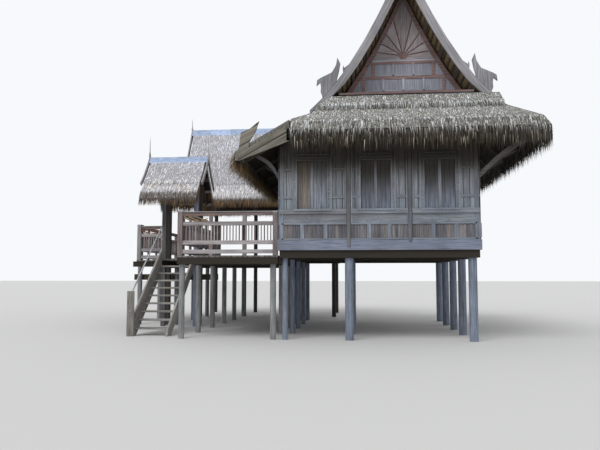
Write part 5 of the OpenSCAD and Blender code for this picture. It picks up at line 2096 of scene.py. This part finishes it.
@dataclass
class RidgeSheets:
    """The sheets on all three ridges.

    Attributes:
        runs: the ridges.
        seed: seed of the random draws.
    """

    runs: tuple[RidgeRun, ...] = (
        RidgeRun(1, 0.735, 5.865, RIDGE_X, 9.974, 0.112, 0.25),
        RidgeRun(0, -6.495, -4.605, 3.915, 5.424, 0.122, 0.18),
        RidgeRun(0, -6.745, -0.005, 9.84, 7.724, 0.112, 0.235),
    )
    seed: int = 31

    def build(self) -> None:
        """Makes the sheets as one piece in place of the ridge caps."""
        shape = bmesh.new()
        tones = shape.verts.layers.float.new("tone")
        chance = random.Random(self.seed)
        for run in self.runs:
            run.fill(shape, tones, chance)
        bmesh.ops.recalc_face_normals(shape, faces=shape.faces)
        adopt(plain_mesh(shape, "ridge_sheets", SHEET), "ridge_sheets", SHEETS, ["ridge_caps"])


@dataclass
class Handrail:
    """The metal tube beside the stair and its board newel.

    Attributes:
        x: place of the tube across the stair.
        line: the tube's bends, as places along the stair and heights.
        radius: radius of the tube.
        sides: sides of its section.
        newel: opposite corners of the newel board and of the cleat on it.
    """

    x: float = -5.7275
    line: tuple[Span, ...] = (
        (0.442, 1.0),
        (0.442, 1.11),
        (0.462, 1.15),
        (0.5, 1.178),
        (2.81, 3.035),
        (2.855, 3.045),
        (2.87, 3.02),
        (2.87, 2.09),
    )
    radius: float = 0.021
    sides: int = 12
    newel: tuple[tuple[Triple, Triple], ...] = (
        ((-5.841, 0.417, 0.0), (-5.652, 0.467, 1.18)),
        ((-5.79, 0.405, 0.62), (-5.7, 0.419, 0.7)),
    )

    def build(self) -> None:
        """Makes the tube and the newel board in place of the stair's rail node."""
        shop = Carpenter("stair_newel", GREY_POSTS, 0.008)
        for low, high in self.newel:
            shop.board(low, high, NEWEL)
        shop.build(["stair_rails"])
        shape = bmesh.new()
        tones = shape.verts.layers.float.new("tone")
        rings = self._rings(shape)
        for vert in shape.verts:
            vert[tones] = 0.5
        bridge(shape, rings)
        shape.faces.new(rings[0])
        shape.faces.new(rings[-1])
        bmesh.ops.recalc_face_normals(shape, faces=shape.faces)
        for face in shape.faces:
            face.smooth = len(face.verts) == 4
        adopt(plain_mesh(shape, "stair_handrail", TUBE), "stair_handrail", GREY_POSTS)

    def _rings(self, shape: Shape) -> list[Ring]:
        """Adds the cross sections of the tube.

        Args:
            shape: the mesh that grows.

        Returns:
            The points of each section.
        """
        points = [Vector((self.x, along, height)) for along, height in self.line]
        across = Vector((1.0, 0.0, 0.0))
        rings = []
        for before, point, after in zip(points[:1] + points, points, points[1:] + points[-1:]):
            up = (after - before).normalized().cross(across)
            turns = [math.tau * side / self.sides for side in range(self.sides)]
            places = [point + self.radius * (math.cos(t) * across + math.sin(t) * up) for t in turns]
            rings.append([shape.verts.new(place) for place in places])
        return rings


BEAM_FOOT = 1.0
GATE_FRONT = 3.9
GATE_LEFT = -5.5


def gate_wood(box: Box) -> Finish:
    """Finish of a timber of the gate: one pale post in front, dark ones behind it."""
    if box[0].z > BEAM_FOOT:
        return RAFTER
    if box[0].y < GATE_FRONT:
        return GATE_POST if box[0].x < GATE_LEFT else POST
    return GATE_SHADE


def rear_wood(box: Box) -> Finish:
    """Finish of a timber of the rear house: brown beams on dark posts."""
    return RAFTER if box[0].z > BEAM_FOOT else GATE_SHADE


def relief_wood(box: Box) -> Finish:
    """Finish of a solid of the sunburst: pale rays, reddish frame and hub."""
    size = box[1] - box[0]
    frame_part, hub = size.x > 2.0, size.x < 0.25 and abs(size.x - size.z) < 0.02
    return GABLE_FRAME if frame_part or hub else RAY


JOINERY = (
    Joinery("house_girders", GIRDER, DARK_BEAMS),
    Joinery("house_joists", RAFTER, DARK_BEAMS),
    Joinery("floor_boards", FLOOR_EDGE, BOARDS),
    Joinery("wall_plates", RAFTER, DARK_BEAMS),
    Joinery("roof_purlins", RAFTER, DARK_BEAMS),
    Joinery("skirt_rafters", RAFTER, DARK_BEAMS),
    Joinery("bargeboards", BARGE, BOARDS),
    Joinery("bargeboard_ends", BARGE_END, BOARDS),
    Joinery("small_bargeboards", SMALL_BARGE, BOARDS),
    Joinery("lean_to_verges", VERGE, GREY_POSTS),
    Joinery("eave_brackets", BRACKET, GREY_POSTS),
    Joinery("terrace_beams", BEAM, DARK_BEAMS),
    Joinery("stair_stringers", STRINGER, BOARDS),
    Joinery("stair_treads", STAIR, BOARDS),
    Joinery("gate_frame", gate_wood, GREY_POSTS),
    Joinery("rear_frame", rear_wood, GREY_POSTS),
    Joinery("finials", FINIAL, GREY_POSTS),
    Joinery("sunbursts", relief_wood, BROWN),
)

KEPT_NODES: dict[str, Finish] = {
    "house_posts": POST,
    "house_floor": FLOOR_PLANKS,
    "front_wall": WALL_PLANKS,
    "back_wall": WALL_PLANKS,
    "left_wall": WALL_PLANKS_DEEP,
    "door_head": WALL_PLANKS_DEEP,
    "right_wall": WALL_PLANKS_DEEP,
    "front_framing": FRAMING.along(Grain.ALONG_X),
    "back_framing": FRAMING.along(Grain.ALONG_X),
    "side_framing": FRAMING.along(Grain.ALONG_Y),
    "wall_pilasters": PILASTER,
    "roof_trusses": RAFTER,
    "gable_boards": GABLE_PANEL,
    "terrace_posts": TERRACE_POST,
    "terrace_deck": DECK_PLANKS,
    "rear_floor": DECK_PLANKS,
}


def dress_kept_nodes() -> None:
    """Gives the nodes whose shape is kept their finishes."""
    for node, finish in KEPT_NODES.items():
        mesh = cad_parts[node].data
        mesh.materials.clear()
        mesh.materials.append(finish.material())
        LOG.info("%s: %s", node, finish.name)


def pale_layers(place: str, rim_shade: Span) -> tuple[Layer, ...]:
    """Layers of a pale roof whose straws are painted dark brown as shade at its rim.

    Args:
        place: name of the roof.
        rim_shade: heights between which the straws are painted dark as shade.

    Returns:
        The layers.
    """
    slope = replace(PALE_STRAW, name=f"{place}_roof_straw", rim_shade=rim_shade)
    rim = replace(PALE_FRINGE, name=f"{place}_fringe_straw", rim_shade=rim_shade)
    return coat(slope, 640.0, 0.2) + fringe(rim, GOLD_STRAW, 0.36, 0.75, high=0.45, rise=0.62)


def skirt(node: str, eaves: tuple[Eave, ...], seed: int) -> Thatch:
    """A low roof round the main house, with a thick fringe and a rim behind it painted dark as shade."""
    return Thatch(node, MAIN_LAYERS, CORE, UNDER_CORE, eaves, cut=0.15, drop=0.22, dark_rim=True, seed=seed)


MAIN_LAYERS = (
    *coat(MAIN_STRAW),
    *fringe(FRINGE_STRAW, UNDER_STRAW, 0.3, 0.72),
    Layer(
        Face.EAVE, STRAND_STRAW, 80.0, 0.26, 0.012, lift=0.03, spread=0.06, fall=0.02, segments=2,
        clump=3.0, reach=(-FAR, 0.1),
    ),
)
ROOF_LAYERS = coat(MAIN_STRAW) + fringe(MAIN_STRAW, SHADED_STRAW, 0.22, 0.9)
LEAN_LAYERS = (
    *coat(replace(MAIN_STRAW, name="lean_to_roof_straw", rim_shade=None)),
    *fringe(LEAN_STRAW, GOLD_STRAW, 0.46, 0.9, back=LIT_STRAW, high=0.03, flare=5.0),
    Layer(
        Face.EAVE, OLIVE_STRAW, 900.0, 0.38, 0.011, lift=0.26, spread=0.34, fall=0.04, segments=2, clump=5.0
    ),
)
GATE_LAYERS = pale_layers("gate", (4.03, 4.25))
REAR_LAYERS = pale_layers("rear", (4.42, 4.72))

UPPER_EAVE = 6.6
THATCHES = (
    Thatch("left_roof_thatch", ROOF_LAYERS, CORE, GOLD_CORE, (Eave.LEFT,), UPPER_EAVE, inset=0.02, seed=1),
    Thatch("right_roof_thatch", ROOF_LAYERS, CORE, GOLD_CORE, (Eave.RIGHT,), UPPER_EAVE, inset=0.02, seed=2),
    Thatch("upper_skirts", ROOF_LAYERS, CORE, UNDER_CORE, (Eave.FRONT, Eave.BACK), inset=0.0, seed=3),
    skirt("front_skirt", (Eave.FRONT, Eave.LEFT, Eave.RIGHT), 4),
    skirt("back_skirt", (Eave.BACK, Eave.LEFT, Eave.RIGHT), 5),
    skirt("right_skirt", (Eave.RIGHT,), 6),
    Thatch("lean_to_thatch", LEAN_LAYERS, CORE, UNDER_CORE, (Eave.LEFT,), cut=0.1, drop=0.25, seed=7),
    Thatch("gate_thatch", GATE_LAYERS, PALE_CORE, UNDER_CORE, tuple(Eave), cut=0.15, seed=8),
    Thatch("rear_thatch", REAR_LAYERS, PALE_CORE, UNDER_CORE, tuple(Eave), cut=0.15, seed=9),
)

DECK_Z = 2.09
RAILINGS = (
    RailingSet(
        "front_railing", (Railing(Vector((-4.34, -0.095, DECK_Z)), 2.5697, carving=YELLOW_CARVING),)
    ),
    RailingSet("side_railing", (Railing(Vector((-4.275, -0.025, DECK_Z)), 4.265, deep=True),)),
    RailingSet(
        "far_railing",
        (
            Railing(Vector((-7.02, 4.305, DECK_Z)), 1.025, carving=RED_CARVING, posts=SMALL_BARGE),
            Railing(Vector((-6.955, 4.375, DECK_Z)), 4.085, deep=True, carving=RED_CARVING),
        ),
    ),
)


def main() -> None:
    """Builds the studio and the house in order."""
    logging.basicConfig(level=logging.INFO, format="%(message)s")
    Studio().build()
    dress_kept_nodes()
    timber = (*JOINERY, *map(WallFittings, WallSide), *RAILINGS, GableScreen(), RoofBattens())
    for assembly in (*timber, RidgeSheets(), Handrail(), *THATCHES):
        assembly.build()


if __name__ == "__main__":
    main()
